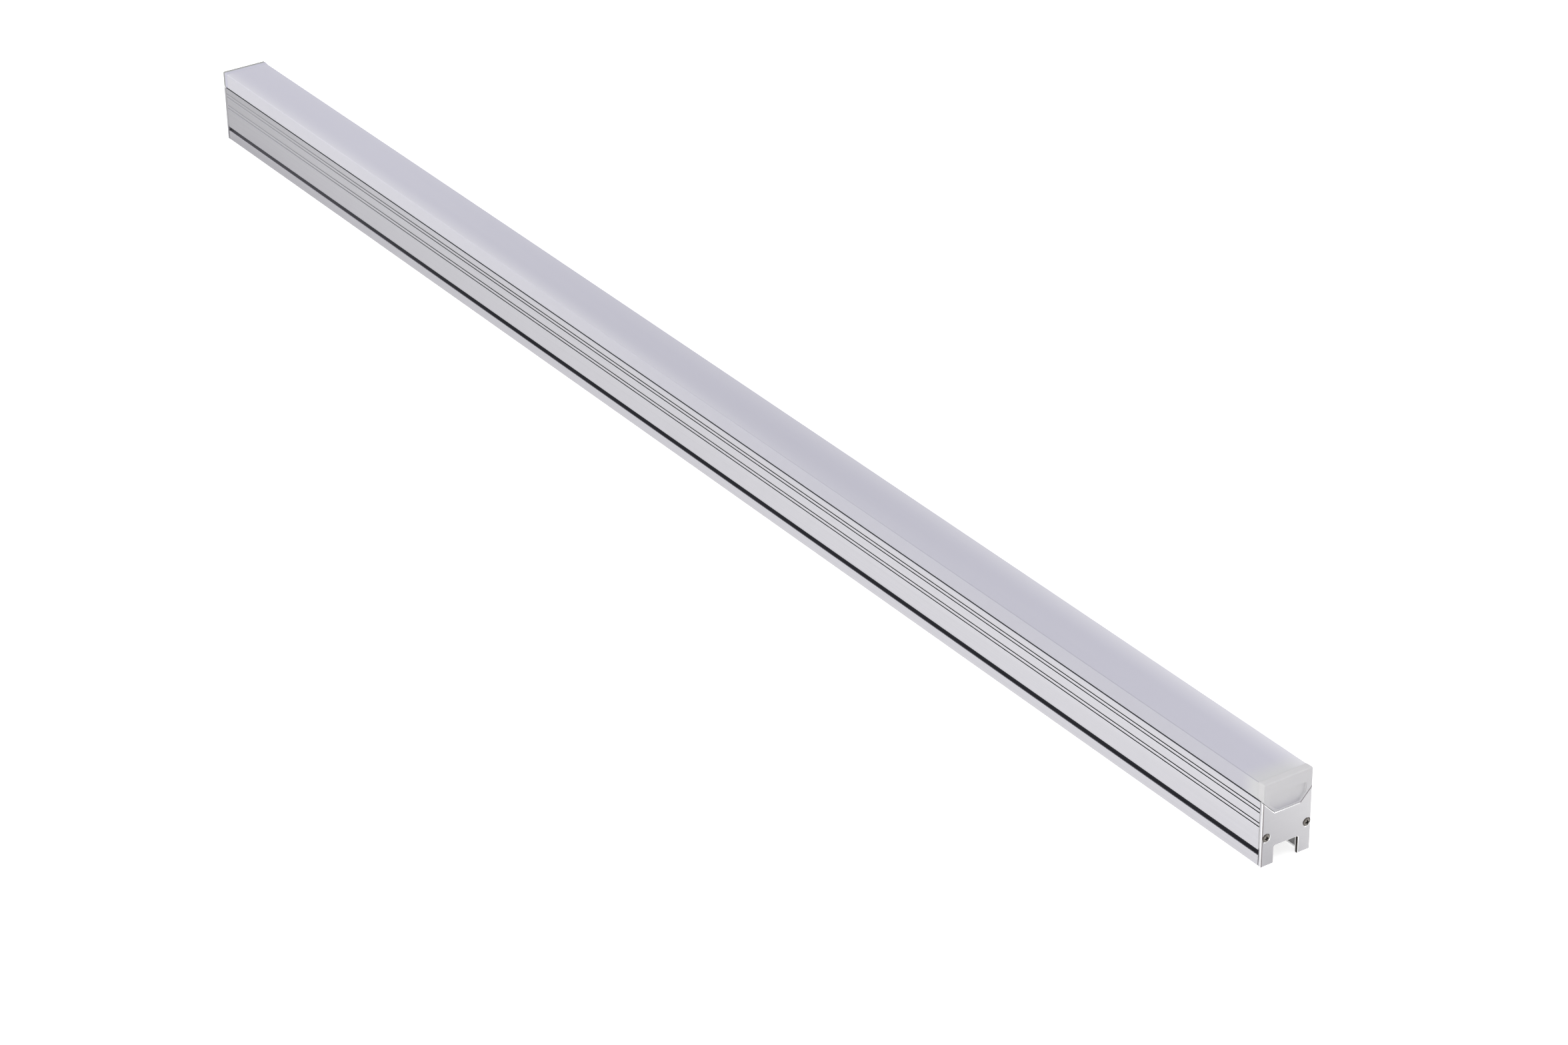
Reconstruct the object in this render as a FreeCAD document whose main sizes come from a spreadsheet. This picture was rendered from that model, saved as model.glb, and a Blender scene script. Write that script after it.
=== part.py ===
import FreeCAD, Part
import math
import os
import re
import Sketcher

# Linear outdoor wall washer light, one metre long.
# X runs along the light, Y across it and Z up towards the cover.
# The origin is the middle of the footprint, on the plane of the feet.
# "near" is the +X end and "far" the -X end: both ends hold the same pieces.

V = FreeCAD.Vector

SIZES = [
    # whole light
    ("overall_length", 1000.0, "over both end plates"),
    ("overall_height", 44.2, "feet to the top of the end caps"),
    ("body_width", 28.5, "across the profile"),
    # housing profile
    ("profile_height", 34.4, "feet to the seam under the cover"),
    ("wall", 1.3, "profile side wall"),
    ("web_top", 22.8, "height of the shelf that carries the boards"),
    ("web_thickness", 2.0, "board shelf"),
    ("lip_depth", 1.0, "lips that hold the board edges down"),
    ("lip_thickness", 0.9, "lips that hold the board edges down"),
    ("rib_drop", 3.5, "seam down to the underside of the snap rib"),
    ("rib_thickness", 0.8, "snap rib"),
    ("rib_depth", 0.5, "snap rib and the barb under it"),
    ("upper_pair_height", 29.28, "middle of the upper pair of fine grooves"),
    ("pair_spacing", 1.98, "between the two grooves of a pair"),
    ("groove_width", 0.45, "fine groove"),
    ("groove_depth", 0.4, "fine groove"),
    ("foot_height", 5.8, "feet to the clip groove"),
    ("foot_width", 5.0, "inward foot of each leg"),
    ("sole_radius", 0.4, "outer lower edges of the legs"),
    ("clip_height", 2.5, "mouth of the clip groove"),
    ("clip_mouth", 1.1, "depth of the mouth before the hook"),
    ("clip_hook", 0.6, "undercut above the mouth"),
    ("clip_depth", 2.7, "whole depth of the clip groove"),
    # screws and their ports
    ("screw_height", 15.25, "feet to the screw axis"),
    ("port_bore", 2.1, "bore of a screw port"),
    ("port_wall", 1.1, "wall round a screw port"),
    ("port_bevel", 1.0, "corners of the boss round a screw port"),
    ("port_slot", 1.0, "slot along a screw port"),
    ("screw_length", 11.0, "under the plate's outer face"),
    ("screw_play", 0.05, "shank to port, all round"),
    ("head_diameter", 4.2, "raised countersunk head"),
    ("head_rise", 0.55, "dome above the plate"),
    ("head_play", 0.1, "head to countersink, all round"),
    ("recess_span", 2.5, "cross recess, tip to tip"),
    ("recess_arm", 0.65, "width of an arm of the cross"),
    ("recess_depth", 1.0, "cross recess"),
    # cover and its seals
    ("cap_rise", 0.4, "end cap above the cover"),
    ("seam_gap", 0.3, "profile to cover, filled by the seal"),
    ("cover_inset", 0.25, "cover side inside the profile side"),
    ("cover_wall", 2.0, "cover"),
    ("cover_radius", 1.2, "outer corners of cover and caps"),
    ("cover_inner_radius", 0.6, "inner corners of the cover"),
    ("cover_shoulder", 1.2, "cover's lower edge up to the slope inside"),
    ("cover_slope", 1.2, "height of the slope from leg to wall"),
    ("cover_play", 0.2, "cover to each end cap"),
    ("leg_thickness", 1.2, "snap leg"),
    ("barb_height", 1.4, "snap barb"),
    ("snap_play", 0.1, "snap leg to the profile"),
    ("seal_inset", 0.45, "seal behind the cover side"),
    # end plates and gaskets
    ("plate_thickness", 2.0, "end plate"),
    ("plate_height", 34.3, "feet to the tips of the plate"),
    ("notch_foot", 27.4, "feet to the bottom of the trapezoid notch"),
    ("notch_flat", 15.0, "bottom of the trapezoid notch"),
    ("notch_radius", 0.8, "corners of the trapezoid notch"),
    ("cable_notch_width", 14.2, "between the plate's legs"),
    ("cable_notch_height", 9.3, "between the plate's legs"),
    ("plate_edge", 0.35, "rounding round the outer face"),
    ("screw_hole_play", 0.25, "plate hole to shank, all round"),
    ("gasket_thickness", 0.5, "end gasket"),
    ("gasket_inset", 0.15, "gasket behind the profile side"),
    # end caps
    ("cap_thickness", 4.5, "block of the end cap"),
    ("cap_play", 0.1, "cap to the profile's top edge"),
    ("cap_tuck", 0.45, "lower corners of the block, across"),
    ("cap_tuck_height", 0.9, "lower corners of the block, upwards"),
    ("cap_edge", 0.9, "rounding round the outer face"),
    ("tongue_play", 0.3, "tongue above the notch"),
    ("spigot_length", 12.0, "spigot behind the block"),
    ("spigot_wall", 1.6, "spigot"),
    ("spigot_play", 0.15, "spigot to cover, leg and shelf"),
    ("pocket_width", 20.8, "pocket in the cap's face"),
    ("pocket_foot_width", 13.4, "pocket in the cap's face"),
    ("pocket_top", 37.4, "feet to the top of the pocket"),
    ("pocket_shoulder", 33.2, "feet to where the pocket narrows"),
    ("pocket_rim", 1.7, "under the pocket"),
    ("pocket_depth", 1.5, "pocket in the cap's face"),
    ("pocket_corner", 1.2, "upright corners of the pocket"),
    ("pocket_floor_radius", 1.0, "soft foot of the pocket's wall"),
    # boards and what they carry
    ("tape_thickness", 0.2, "thermal tape"),
    ("tape_margin", 1.5, "board edge to tape"),
    ("board_thickness", 1.6, "aluminium-core board"),
    ("board_play", 0.15, "board to the slot round it"),
    ("board_end_play", 2.5, "board to the spigot"),
    ("board_joint", 0.5, "between the two boards"),
    ("led_pitch", 20.0, "along the board"),
    ("led_margin", 11.0, "board end to the first LED"),
    ("led_size", 5.0, "square package"),
    ("led_height", 1.6, "package"),
    ("led_window", 4.0, "diameter of the window"),
    ("led_window_depth", 0.5, "dish of the window"),
    ("side_row", 7.2, "chips and resistors off the centre line"),
    ("chip_length", 4.9, "driver chip"),
    ("chip_width", 3.9, "driver chip"),
    ("chip_height", 1.5, "driver chip"),
    ("chip_leads", 6.0, "over the leads of a driver chip"),
    ("lead_thickness", 0.25, "leads of a driver chip"),
    ("chip_every", 4, "LEDs to each driver chip"),
    ("chip_start", 3, "LED pitches before the first driver chip"),
    ("resistor_length", 3.2, "chip resistor"),
    ("resistor_width", 1.6, "chip resistor"),
    ("resistor_height", 0.6, "chip resistor"),
    ("capacitor_diameter", 6.3, "can"),
    ("capacitor_height", 5.4, "can"),
    ("capacitor_base", 6.6, "square foot"),
    ("capacitor_base_height", 0.8, "square foot"),
    ("terminal_width", 7.2, "across the light"),
    ("terminal_length", 8.0, "along the light"),
    ("terminal_height", 3.4, "wire terminal"),
    ("terminal_offset", 3.5, "centre line to the terminal"),
    ("terminal_distance", 8.0, "grommet axis to the terminal's face"),
    ("wire_count", 4, "wire entries side by side"),
    ("wire_hole", 1.2, "wire entry"),
    ("wire_hole_depth", 4.0, "wire entry"),
    ("wire_pitch", 1.8, "between wire entries"),
    ("socket_length", 5.0, "link socket"),
    ("socket_width", 9.0, "link socket"),
    ("socket_height", 2.4, "link socket"),
    ("socket_setback", 0.8, "board edge to the socket"),
    ("socket_wall", 0.7, "link socket"),
    ("socket_cavity", 3.5, "depth of the link socket"),
    ("plug_play", 0.1, "link plug in its sockets"),
    # cable grommets
    ("cable_bore", 6.0, "bore for the cable"),
    ("grommet_wall", 1.5, "neck of the grommet"),
    ("grommet_top_rim", 1.0, "upper flange past the neck"),
    ("grommet_top_height", 0.8, "upper flange"),
    ("grommet_low_rim", 1.8, "lower flange past the neck"),
    ("grommet_low_height", 1.8, "lower flange"),
    ("grommet_sleeve", 6.0, "shelf down to the sleeve's mouth"),
    ("grommet_play", 0.05, "neck to the shelf's hole"),
    ("board_hole_play", 0.5, "board and tape to the upper flange"),
]

# Places that follow from the sizes.
PLACES = {
    "half_length": "overall_length / 2",
    "half_width": "body_width / 2",
    "inner_face": "half_width - wall",
    "web_foot": "web_top - web_thickness",
    "board_foot": "web_top + tape_thickness",
    "board_top": "board_foot + board_thickness",
    "slot_roof": "board_top + board_play",
    "rib_under": "profile_height - rib_drop",
    "rib_over": "rib_under + rib_thickness",
    "lower_pair_height": "web_top - web_thickness / 2",
    "clip_top": "foot_height + clip_height",
    "clip_roof": "clip_top + clip_hook",
    "clip_back": "half_width - clip_depth",
    "profile_end": "half_length - plate_thickness - gasket_thickness",
    "plate_back": "half_length - plate_thickness",
    "screw_side": "half_width - wall - port_bore / 2",
    "port_radius": "port_bore / 2 + port_wall",
    "shank_radius": "port_bore / 2 - screw_play",
    "head_radius": "head_diameter / 2",
    "cover_side": "half_width - cover_inset",
    "cover_foot": "profile_height + seam_gap",
    "cover_top": "overall_height - cap_rise",
    "cover_ceiling": "cover_top - cover_wall",
    "cover_slope_top": "cover_foot + cover_shoulder + cover_slope",
    "cover_inner_rounding": "min(cover_inner_radius; (cover_ceiling - cover_slope_top) / 2)",
    "leg_outer": "inner_face - rib_depth - snap_play",
    "leg_inner": "leg_outer - leg_thickness",
    "barb_top": "rib_under - snap_play",
    "leg_foot": "barb_top - barb_height",
    "cap_back": "half_length - cap_thickness",
    "cap_foot": "profile_height + cap_play",
    "cap_side_foot": "cap_foot + cap_tuck_height",
    "cover_end": "cap_back - cover_play",
    "notch_half": "notch_flat / 2",
    "notch_slope": "(plate_height - notch_foot) / (half_width - notch_half)",
    "tongue_foot": "notch_foot + tongue_play",
    "tongue_side": "half_width - cap_tuck",
    "gasket_side": "half_width - gasket_inset",
    "spigot_end": "cap_back - spigot_length",
    "spigot_side": "leg_inner - spigot_play",
    "spigot_foot": "web_top + spigot_play",
    "spigot_top": "cover_ceiling - spigot_play",
    "board_end": "spigot_end - board_end_play",
    "board_side": "inner_face - board_play",
    "first_led": "board_end - led_margin",
    "inlet": "first_led - led_pitch / 2",
    "led_count": "floor((first_led - led_size / 2 - board_joint / 2) / led_pitch) + 1",
    "first_chip": "first_led - chip_start * led_pitch",
    "chip_pitch": "chip_every * led_pitch",
    "chip_count": "floor((first_chip - chip_length / 2 - board_joint / 2) / chip_pitch) + 1",
    "resistor_count": "floor((first_chip - resistor_length / 2 - board_joint / 2) / led_pitch) + 1",
    "neck_radius": "cable_bore / 2 + grommet_wall",
    "top_flange_radius": "neck_radius + grommet_top_rim",
    "low_flange_radius": "neck_radius + grommet_low_rim",
    "board_hole_radius": "top_flange_radius + board_hole_play",
    "socket_start": "board_joint / 2 + socket_setback",
    "plug_inset": "socket_wall + plug_play",
}

doc = FreeCAD.newDocument("wall_washer")
sheet = doc.addObject("Spreadsheet::Sheet", "Sizes")
for row, (alias, value, note) in enumerate(SIZES, start=1):
    sheet.set(f"A{row}", alias)
    sheet.set(f"B{row}", str(value))
    sheet.setAlias(f"B{row}", alias)
    sheet.set(f"C{row}", note)
doc.recompute()

ALIASES = {alias for alias, value, note in SIZES}
NEAR = 1e-4  # two lengths closer than this are the same
SINK_ANGLE = 90.0  # the screw heads' cone is as deep as it narrows
parts = []


def formula(text):
    """Spell out a formula of size and place names for the document."""
    def spell(match):
        word = match.group(0)
        if word in PLACES:
            return f"({formula(PLACES[word])})"
        return f"Sizes.{word}" if word in ALIASES else word
    return re.sub(r"[a-z]+(?:_[a-z]+)*", spell, text)


def bind(item, path, text):
    item.setExpression(path, formula(text))


def new_part(label, turn=0.0):
    """A body that becomes a piece of its own, turned about Z by degrees."""
    body = doc.addObject("PartDesign::Body", label)
    body.Label = label
    body.Placement = FreeCAD.Placement(V(0, 0, 0), FreeCAD.Rotation(V(0, 0, 1), turn))
    parts.append(body)
    return body


def origin_part(body, role):
    return next(f for f in body.Origin.OriginFeatures if f.Role == role)


def sketch_on(body, plane, shift="0", along="0", up="0"):
    """A sketch on an origin plane: shift along its normal, along and up in it."""
    sketch = body.newObject("Sketcher::SketchObject", f"{body.Name}_sketch")
    sketch.AttachmentSupport = [(origin_part(body, plane), "")]
    sketch.MapMode = "FlatFace"
    bind(sketch, "AttachmentOffset.Base.x", along)
    bind(sketch, "AttachmentOffset.Base.y", up)
    bind(sketch, "AttachmentOffset.Base.z", shift)
    return sketch


def current(sketch, text):
    """What a formula gives at the sizes in use."""
    return float(sketch.evalExpression(formula(text)))


def place_point(sketch, geometry, point, across, up):
    for kind, text in (("DistanceX", across), ("DistanceY", up)):
        rule = Sketcher.Constraint(kind, -1, 1, geometry, point, current(sketch, text))
        bind(sketch, f"Constraints[{sketch.addConstraint(rule)}]", text)


def dome(start, end):
    """An arc from the sketch's long axis to a point beside it, centred on the axis."""
    rise = start.x - end.x
    radius = (rise ** 2 + end.y ** 2) / (2 * rise)
    circle = Part.Circle(V(start.x - radius, 0, 0), V(0, 0, 1), radius)
    return Part.ArcOfCircle(circle, 0, math.asin(end.y / radius))


def add_loop(sketch, corners, domed=False):
    """A closed run of lines between corners, each a pair of formulas.

    In a domed loop the first side is an arc centred on the sketch's long axis.
    """
    count = len(corners)
    first = sketch.GeometryCount
    ends = [V(current(sketch, across), current(sketch, up), 0) for across, up in corners]
    sides = [Part.LineSegment(ends[i], ends[(i + 1) % count]) for i in range(count)]
    if domed:
        sides[0] = dome(ends[0], ends[1])
    sketch.addGeometry(sides, False)
    joins = [Sketcher.Constraint("Coincident", first + i, 2, first + (i + 1) % count, 1)
             for i in range(count)]
    sketch.addConstraint(joins)
    if domed:
        sketch.addConstraint(Sketcher.Constraint("PointOnObject", first, 3, -1))
    for i, (across, up) in enumerate(corners):
        place_point(sketch, first + i, 1, across, up)


def add_circle(sketch, across, up, radius):
    centre = V(current(sketch, across), current(sketch, up), 0)
    circle = Part.Circle(centre, V(0, 0, 1), current(sketch, radius))
    index = sketch.addGeometry(circle, False)
    place_point(sketch, index, 3, across, up)
    size = sketch.addConstraint(Sketcher.Constraint("Radius", index, circle.Radius))
    bind(sketch, f"Constraints[{size}]", radius)


def mirrored(corners):
    """Half an outline and its mirror image, as one loop."""
    other = [(f"-({across})", up) for across, up in reversed(corners)]
    return list(corners) + other


def rectangle(left, right, low, high):
    return [(left, low), (right, low), (right, high), (left, high)]


def pad(body, sketch, length, both_ways=False):
    feature = body.newObject("PartDesign::Pad", f"{body.Name}_pad")
    feature.Profile = sketch
    feature.SideType = "Symmetric" if both_ways else "One side"
    bind(feature, "Length", length)
    doc.recompute()
    return feature


def pocket(body, sketch, length, both_ways=False, backwards=False):
    """Cut a sketch out of the body, and make sure that it cuts something."""
    before = body.Shape.Volume
    feature = body.newObject("PartDesign::Pocket", f"{body.Name}_pocket")
    feature.Profile = sketch
    feature.SideType = "Symmetric" if both_ways else "One side"
    feature.Reversed = backwards
    bind(feature, "Length", length)
    doc.recompute()
    if not body.Shape.Volume < before:
        raise ValueError(f"a pocket of {body.Label} cuts nothing")
    return feature


def revolve(body, sketch, axis):
    feature = body.newObject("PartDesign::Revolution", f"{body.Name}_turned")
    feature.Profile = sketch
    feature.ReferenceAxis = (sketch, [axis])
    feature.Angle = 360.0
    doc.recompute()
    return feature


def round_edges(body, base, chosen, radius):
    """Round the edges of the base feature for which chosen(edge) is true."""
    names = [f"Edge{i}" for i, edge in enumerate(base.Shape.Edges, start=1) if chosen(edge)]
    feature = body.newObject("PartDesign::Fillet", f"{body.Name}_rounding")
    feature.Base = (base, names)
    bind(feature, "Radius", radius)
    doc.recompute()
    return feature


def repeat(body, features, pitch, count, axis="X_Axis"):
    """Repeat features backwards along an axis, and take the whole row."""
    feature = body.newObject("PartDesign::LinearPattern", f"{body.Name}_row")
    feature.Originals = features
    feature.Direction = (origin_part(body, axis), [""])
    feature.Reversed = True
    feature.Mode = "Spacing"
    bind(feature, "Offset", pitch)
    bind(feature, "Occurrences", count)
    body.Tip = feature
    doc.recompute()
    return feature


def mirror_across(body, features):
    """Repeat features on the other side of the light's middle plane."""
    feature = body.newObject("PartDesign::Mirrored", f"{body.Name}_pair")
    feature.Originals = features
    feature.MirrorPlane = (origin_part(body, "XZ_Plane"), [""])
    body.Tip = feature
    doc.recompute()
    return feature


def runs_along(edge, axis):
    """True for a straight edge along X, Y or Z, given as 0, 1 or 2."""
    box = edge.BoundBox
    spans = [box.XLength, box.YLength, box.ZLength]
    return all(span < NEAR for i, span in enumerate(spans) if i != axis)


def housing_profile():
    body = new_part("housing_profile")
    grooves = []
    for middle in ("upper_pair_height", "lower_pair_height"):
        for side in ("+", "-"):
            centre = f"{middle} {side} pair_spacing / 2"
            grooves += [
                ("half_width", f"{centre} + groove_width / 2"),
                ("half_width - groove_depth", centre),
                ("half_width", f"{centre} - groove_width / 2"),
            ]
    half = [
        # board slot in the tray
        ("inner_face", "web_top"),
        ("inner_face", "slot_roof"),
        ("inner_face - lip_depth", "slot_roof"),
        ("inner_face - lip_depth", "slot_roof + lip_thickness"),
        ("inner_face", "slot_roof + lip_thickness + lip_depth"),
        # snap rib for the cover
        ("inner_face", "rib_under"),
        ("inner_face - rib_depth", "rib_under"),
        ("inner_face - rib_depth", "rib_over"),
        ("inner_face", "rib_over + rib_depth"),
        ("inner_face", "profile_height"),
        ("half_width", "profile_height"),
        # fine grooves in the outer face
        *grooves,
        # hooked clip groove
        ("half_width", "clip_top"),
        ("half_width - clip_mouth", "clip_top"),
        ("half_width - clip_mouth", "clip_roof"),
        ("clip_back", "clip_roof"),
        ("clip_back", "foot_height"),
        ("half_width", "foot_height"),
        # foot that turns in under the leg
        ("half_width", "0"),
        ("half_width - foot_width", "0"),
        ("half_width - foot_width", "wall"),
        ("inner_face", "wall"),
        ("inner_face", "foot_height - wall"),
        ("clip_back - wall", "foot_height - wall"),
        ("clip_back - wall", "clip_roof + wall"),
        ("inner_face", "clip_roof + wall"),
        # roof of the cable channel
        ("inner_face", "web_foot"),
    ]
    section = sketch_on(body, "YZ_Plane")
    add_loop(section, mirrored(half))
    bar = pad(body, section, "2 * profile_end", both_ways=True)
    side = bar.Shape.BoundBox.YMax

    def sole_edge(edge):
        middle = edge.CenterOfMass
        return runs_along(edge, 0) and abs(middle.z) < NEAR and abs(middle.y) > side - NEAR

    round_edges(body, bar, sole_edge, "sole_radius")
    port = sketch_on(body, "YZ_Plane")
    for side in ("", "-"):
        add_loop(port, port_outline(side))
    pad(body, port, "2 * profile_end", both_ways=True)
    bores = sketch_on(body, "YZ_Plane")
    for side in ("", "-"):
        add_circle(bores, f"{side}(screw_side)", "screw_height", "port_bore / 2")
    pocket(body, bores, "2 * overall_length", both_ways=True)
    slots = sketch_on(body, "YZ_Plane")
    for side in ("", "-"):
        add_loop(slots, rectangle(
            f"{side}(screw_side - port_radius - port_slot)", f"{side}(screw_side)",
            "screw_height - port_slot / 2", "screw_height + port_slot / 2"))
    pocket(body, slots, "2 * overall_length", both_ways=True)
    inlets = sketch_on(body, "XY_Plane")
    for side in ("", "-"):
        add_circle(inlets, f"{side}(inlet)", "0", "neck_radius + grommet_play")
    pocket(body, inlets, "2 * overall_height", both_ways=True)


def port_outline(side):
    """Screw port: a boss with bevelled corners that grows out of the side wall."""
    corners = [
        ("inner_face + wall / 2", "screw_height - port_radius"),
        ("screw_side - port_radius + port_bevel", "screw_height - port_radius"),
        ("screw_side - port_radius", "screw_height - port_radius + port_bevel"),
        ("screw_side - port_radius", "screw_height + port_radius - port_bevel"),
        ("screw_side - port_radius + port_bevel", "screw_height + port_radius"),
        ("inner_face + wall / 2", "screw_height + port_radius"),
    ]
    return [(f"{side}({across})", up) for across, up in corners]


def diffuser_cover():
    body = new_part("diffuser_cover")
    half = [
        ("cover_side - cover_wall", "cover_ceiling"),
        ("cover_side - cover_wall", "cover_slope_top"),
        ("leg_inner", "cover_foot + cover_shoulder"),
        ("leg_inner", "leg_foot"),
        ("leg_outer", "leg_foot"),
        ("leg_outer + rib_depth", "barb_top - barb_height / 2"),
        ("leg_outer + rib_depth", "barb_top"),
        ("leg_outer", "barb_top"),
        ("leg_outer", "cover_foot"),
        ("cover_side", "cover_foot"),
        ("cover_side", "cover_top"),
    ]
    section = sketch_on(body, "YZ_Plane")
    add_loop(section, mirrored(half))
    shell = pad(body, section, "2 * cover_end", both_ways=True)
    top = shell.Shape.BoundBox.ZMax
    side = shell.Shape.BoundBox.YMax
    wall = sheet.get("cover_wall")

    def outer_corner(edge):
        middle = edge.CenterOfMass
        return runs_along(edge, 0) and middle.z > top - NEAR and abs(middle.y) > side - NEAR

    def inner_corner(edge):
        middle = edge.CenterOfMass
        return runs_along(edge, 0) and abs(middle.z - top + wall) < NEAR

    rounded = round_edges(body, shell, outer_corner, "cover_radius")
    round_edges(body, rounded, inner_corner, "cover_inner_rounding")


def cover_seal(label, side):
    """Silicone cord between the cover's lower edge and the profile's top edge."""
    body = new_part(label)
    section = sketch_on(body, "YZ_Plane")
    add_loop(section, rectangle(
        f"{side}(inner_face)", f"{side}(cover_side - seal_inset)", "profile_height", "cover_foot"))
    pad(body, section, "2 * cover_end", both_ways=True)


def end_cap(label, turn):
    body = new_part(label, turn)
    block = sketch_on(body, "YZ_Plane", shift="cap_back")
    add_loop(block, mirrored([
        ("half_width", "overall_height"),
        ("half_width", "cap_side_foot"),
        ("half_width - cap_tuck", "cap_foot"),
    ]))
    block_pad = pad(body, block, "cap_thickness")
    box = block_pad.Shape.BoundBox
    tuck = box.ZMin + sheet.get("cap_tuck_height")
    floor = box.XMax - sheet.get("pocket_depth")

    def long_top_edge(edge):
        return runs_along(edge, 0) and edge.BoundBox.ZMin > box.ZMax - NEAR

    def face_edge(edge):
        span = edge.BoundBox
        return span.ZMax > tuck + NEAR and span.XMin > box.XMax - NEAR

    rounded = round_edges(body, block_pad, long_top_edge, "cover_radius")
    round_edges(body, rounded, face_edge, "cap_edge")
    tongue = sketch_on(body, "YZ_Plane", shift="profile_end")
    add_loop(tongue, mirrored([
        ("tongue_side", "cap_side_foot"),
        ("tongue_side", "tongue_foot + (tongue_side - notch_half) * notch_slope"),
        ("notch_half", "tongue_foot"),
    ]))
    pad(body, tongue, "half_length - profile_end")
    spigot = sketch_on(body, "YZ_Plane", shift="spigot_end")
    add_loop(spigot, rectangle("-(spigot_side)", "spigot_side", "spigot_foot", "spigot_top"))
    pad(body, spigot, "profile_end - spigot_end")
    hollow = sketch_on(body, "YZ_Plane", shift="spigot_end")
    add_loop(hollow, rectangle(
        "-(spigot_side - spigot_wall)", "spigot_side - spigot_wall",
        "spigot_foot + spigot_wall", "spigot_top - spigot_wall"))
    pocket(body, hollow, "spigot_length", backwards=True)
    face = sketch_on(body, "YZ_Plane", shift="half_length")
    add_loop(face, mirrored([
        ("pocket_width / 2", "pocket_top"),
        ("pocket_width / 2", "pocket_shoulder"),
        ("pocket_foot_width / 2", "tongue_foot + pocket_rim"),
    ]))
    dish = pocket(body, face, "pocket_depth")

    def pocket_corner(edge):
        span = edge.BoundBox
        return runs_along(edge, 0) and abs(span.XMin - floor) < NEAR

    cornered = round_edges(body, dish, pocket_corner, "pocket_corner")

    def floor_edge(edge):
        span = edge.BoundBox
        return abs(span.XMin - floor) < NEAR and abs(span.XMax - floor) < NEAR

    round_edges(body, cornered, floor_edge, "pocket_floor_radius")


def end_plate(label, turn):
    body = new_part(label, turn)
    outline = sketch_on(body, "YZ_Plane", shift="plate_back")
    add_loop(outline, mirrored([
        ("notch_half", "notch_foot"),
        ("half_width", "plate_height"),
        ("half_width", "0"),
        ("cable_notch_width / 2", "0"),
        ("cable_notch_width / 2", "cable_notch_height"),
    ]))
    sheet_metal = pad(body, outline, "plate_thickness")
    foot = sheet.get("notch_foot")

    def notch_corner(edge):
        return runs_along(edge, 0) and abs(edge.CenterOfMass.z - foot) < NEAR

    softened = round_edges(body, sheet_metal, notch_corner, "notch_radius")
    outer = softened.Shape.BoundBox.XMax

    def face_edge(edge):
        return edge.BoundBox.XMin > outer - NEAR

    round_edges(body, softened, face_edge, "plate_edge")
    centres = sketch_on(body, "YZ_Plane", shift="half_length")
    for side in ("", "-"):
        add_circle(centres, f"{side}(screw_side)", "screw_height", "head_radius")
    holes = body.newObject("PartDesign::Hole", f"{body.Name}_holes")
    holes.Profile = centres
    doc.recompute()
    holes.DepthType = "ThroughAll"
    holes.HoleCutType = "Countersink"
    holes.HoleCutCustomValues = True
    bind(holes, "Diameter", "2 * (shank_radius + screw_hole_play)")
    bind(holes, "HoleCutDiameter", "head_diameter + 2 * head_play")
    holes.HoleCutCountersinkAngle = SINK_ANGLE
    doc.recompute()


def end_gasket(label, turn):
    """Silicone sheet between the profile's end and the plate, above the cable notch."""
    body = new_part(label, turn)
    outline = sketch_on(body, "YZ_Plane", shift="profile_end")
    add_loop(outline, mirrored([
        ("notch_half", "notch_foot"),
        ("gasket_side", "notch_foot + (gasket_side - notch_half) * notch_slope"),
        ("gasket_side", "cable_notch_height"),
    ]))
    pad(body, outline, "gasket_thickness")
    holes = sketch_on(body, "YZ_Plane", shift="profile_end")
    for side in ("", "-"):
        add_circle(holes, f"{side}(screw_side)", "screw_height", "shank_radius + screw_hole_play")
    pocket(body, holes, "2 * gasket_thickness", both_ways=True)


def plate_screws(label, turn):
    """Two raised countersunk screws with a cross recess, as separate solids."""
    body = new_part(label, turn)
    outline = sketch_on(body, "XZ_Plane", shift="-(screw_side)", up="screw_height")
    add_loop(outline, [
        ("half_length + head_rise", "0"),
        ("half_length", "head_radius"),
        ("half_length - head_radius + shank_radius", "shank_radius"),
        ("half_length - screw_length + shank_radius", "shank_radius"),
        ("half_length - screw_length", "0"),
    ], domed=True)
    turned = revolve(body, outline, "H_Axis")
    cross = sketch_on(body, "YZ_Plane", shift="half_length + head_rise",
                      along="screw_side", up="screw_height")
    quarter = [
        ("recess_span / 2", "recess_arm / 2"),
        ("recess_arm / 2", "recess_arm / 2"),
        ("recess_arm / 2", "recess_span / 2"),
    ]
    corners = []
    for quarter_turn in range(4):
        corners += quarter
        quarter = [(f"-({up})", across) for across, up in quarter]
    add_loop(cross, corners)
    recess = pocket(body, cross, "recess_depth")
    mirror_across(body, [turned, recess])


def thermal_tape(label, turn):
    body = new_part(label, turn)
    outline = sketch_on(body, "XY_Plane", shift="web_top")
    add_loop(outline, rectangle(
        "board_joint / 2 + tape_margin", "board_end - tape_margin",
        "-(board_side - tape_margin)", "board_side - tape_margin"))
    add_circle(outline, "inlet", "0", "board_hole_radius")
    pad(body, outline, "tape_thickness")


def led_board(label, turn):
    body = new_part(label, turn)
    outline = sketch_on(body, "XY_Plane", shift="board_foot")
    add_loop(outline, rectangle("board_joint / 2", "board_end", "-(board_side)", "board_side"))
    add_circle(outline, "inlet", "0", "board_hole_radius")
    pad(body, outline, "board_thickness")


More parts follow.
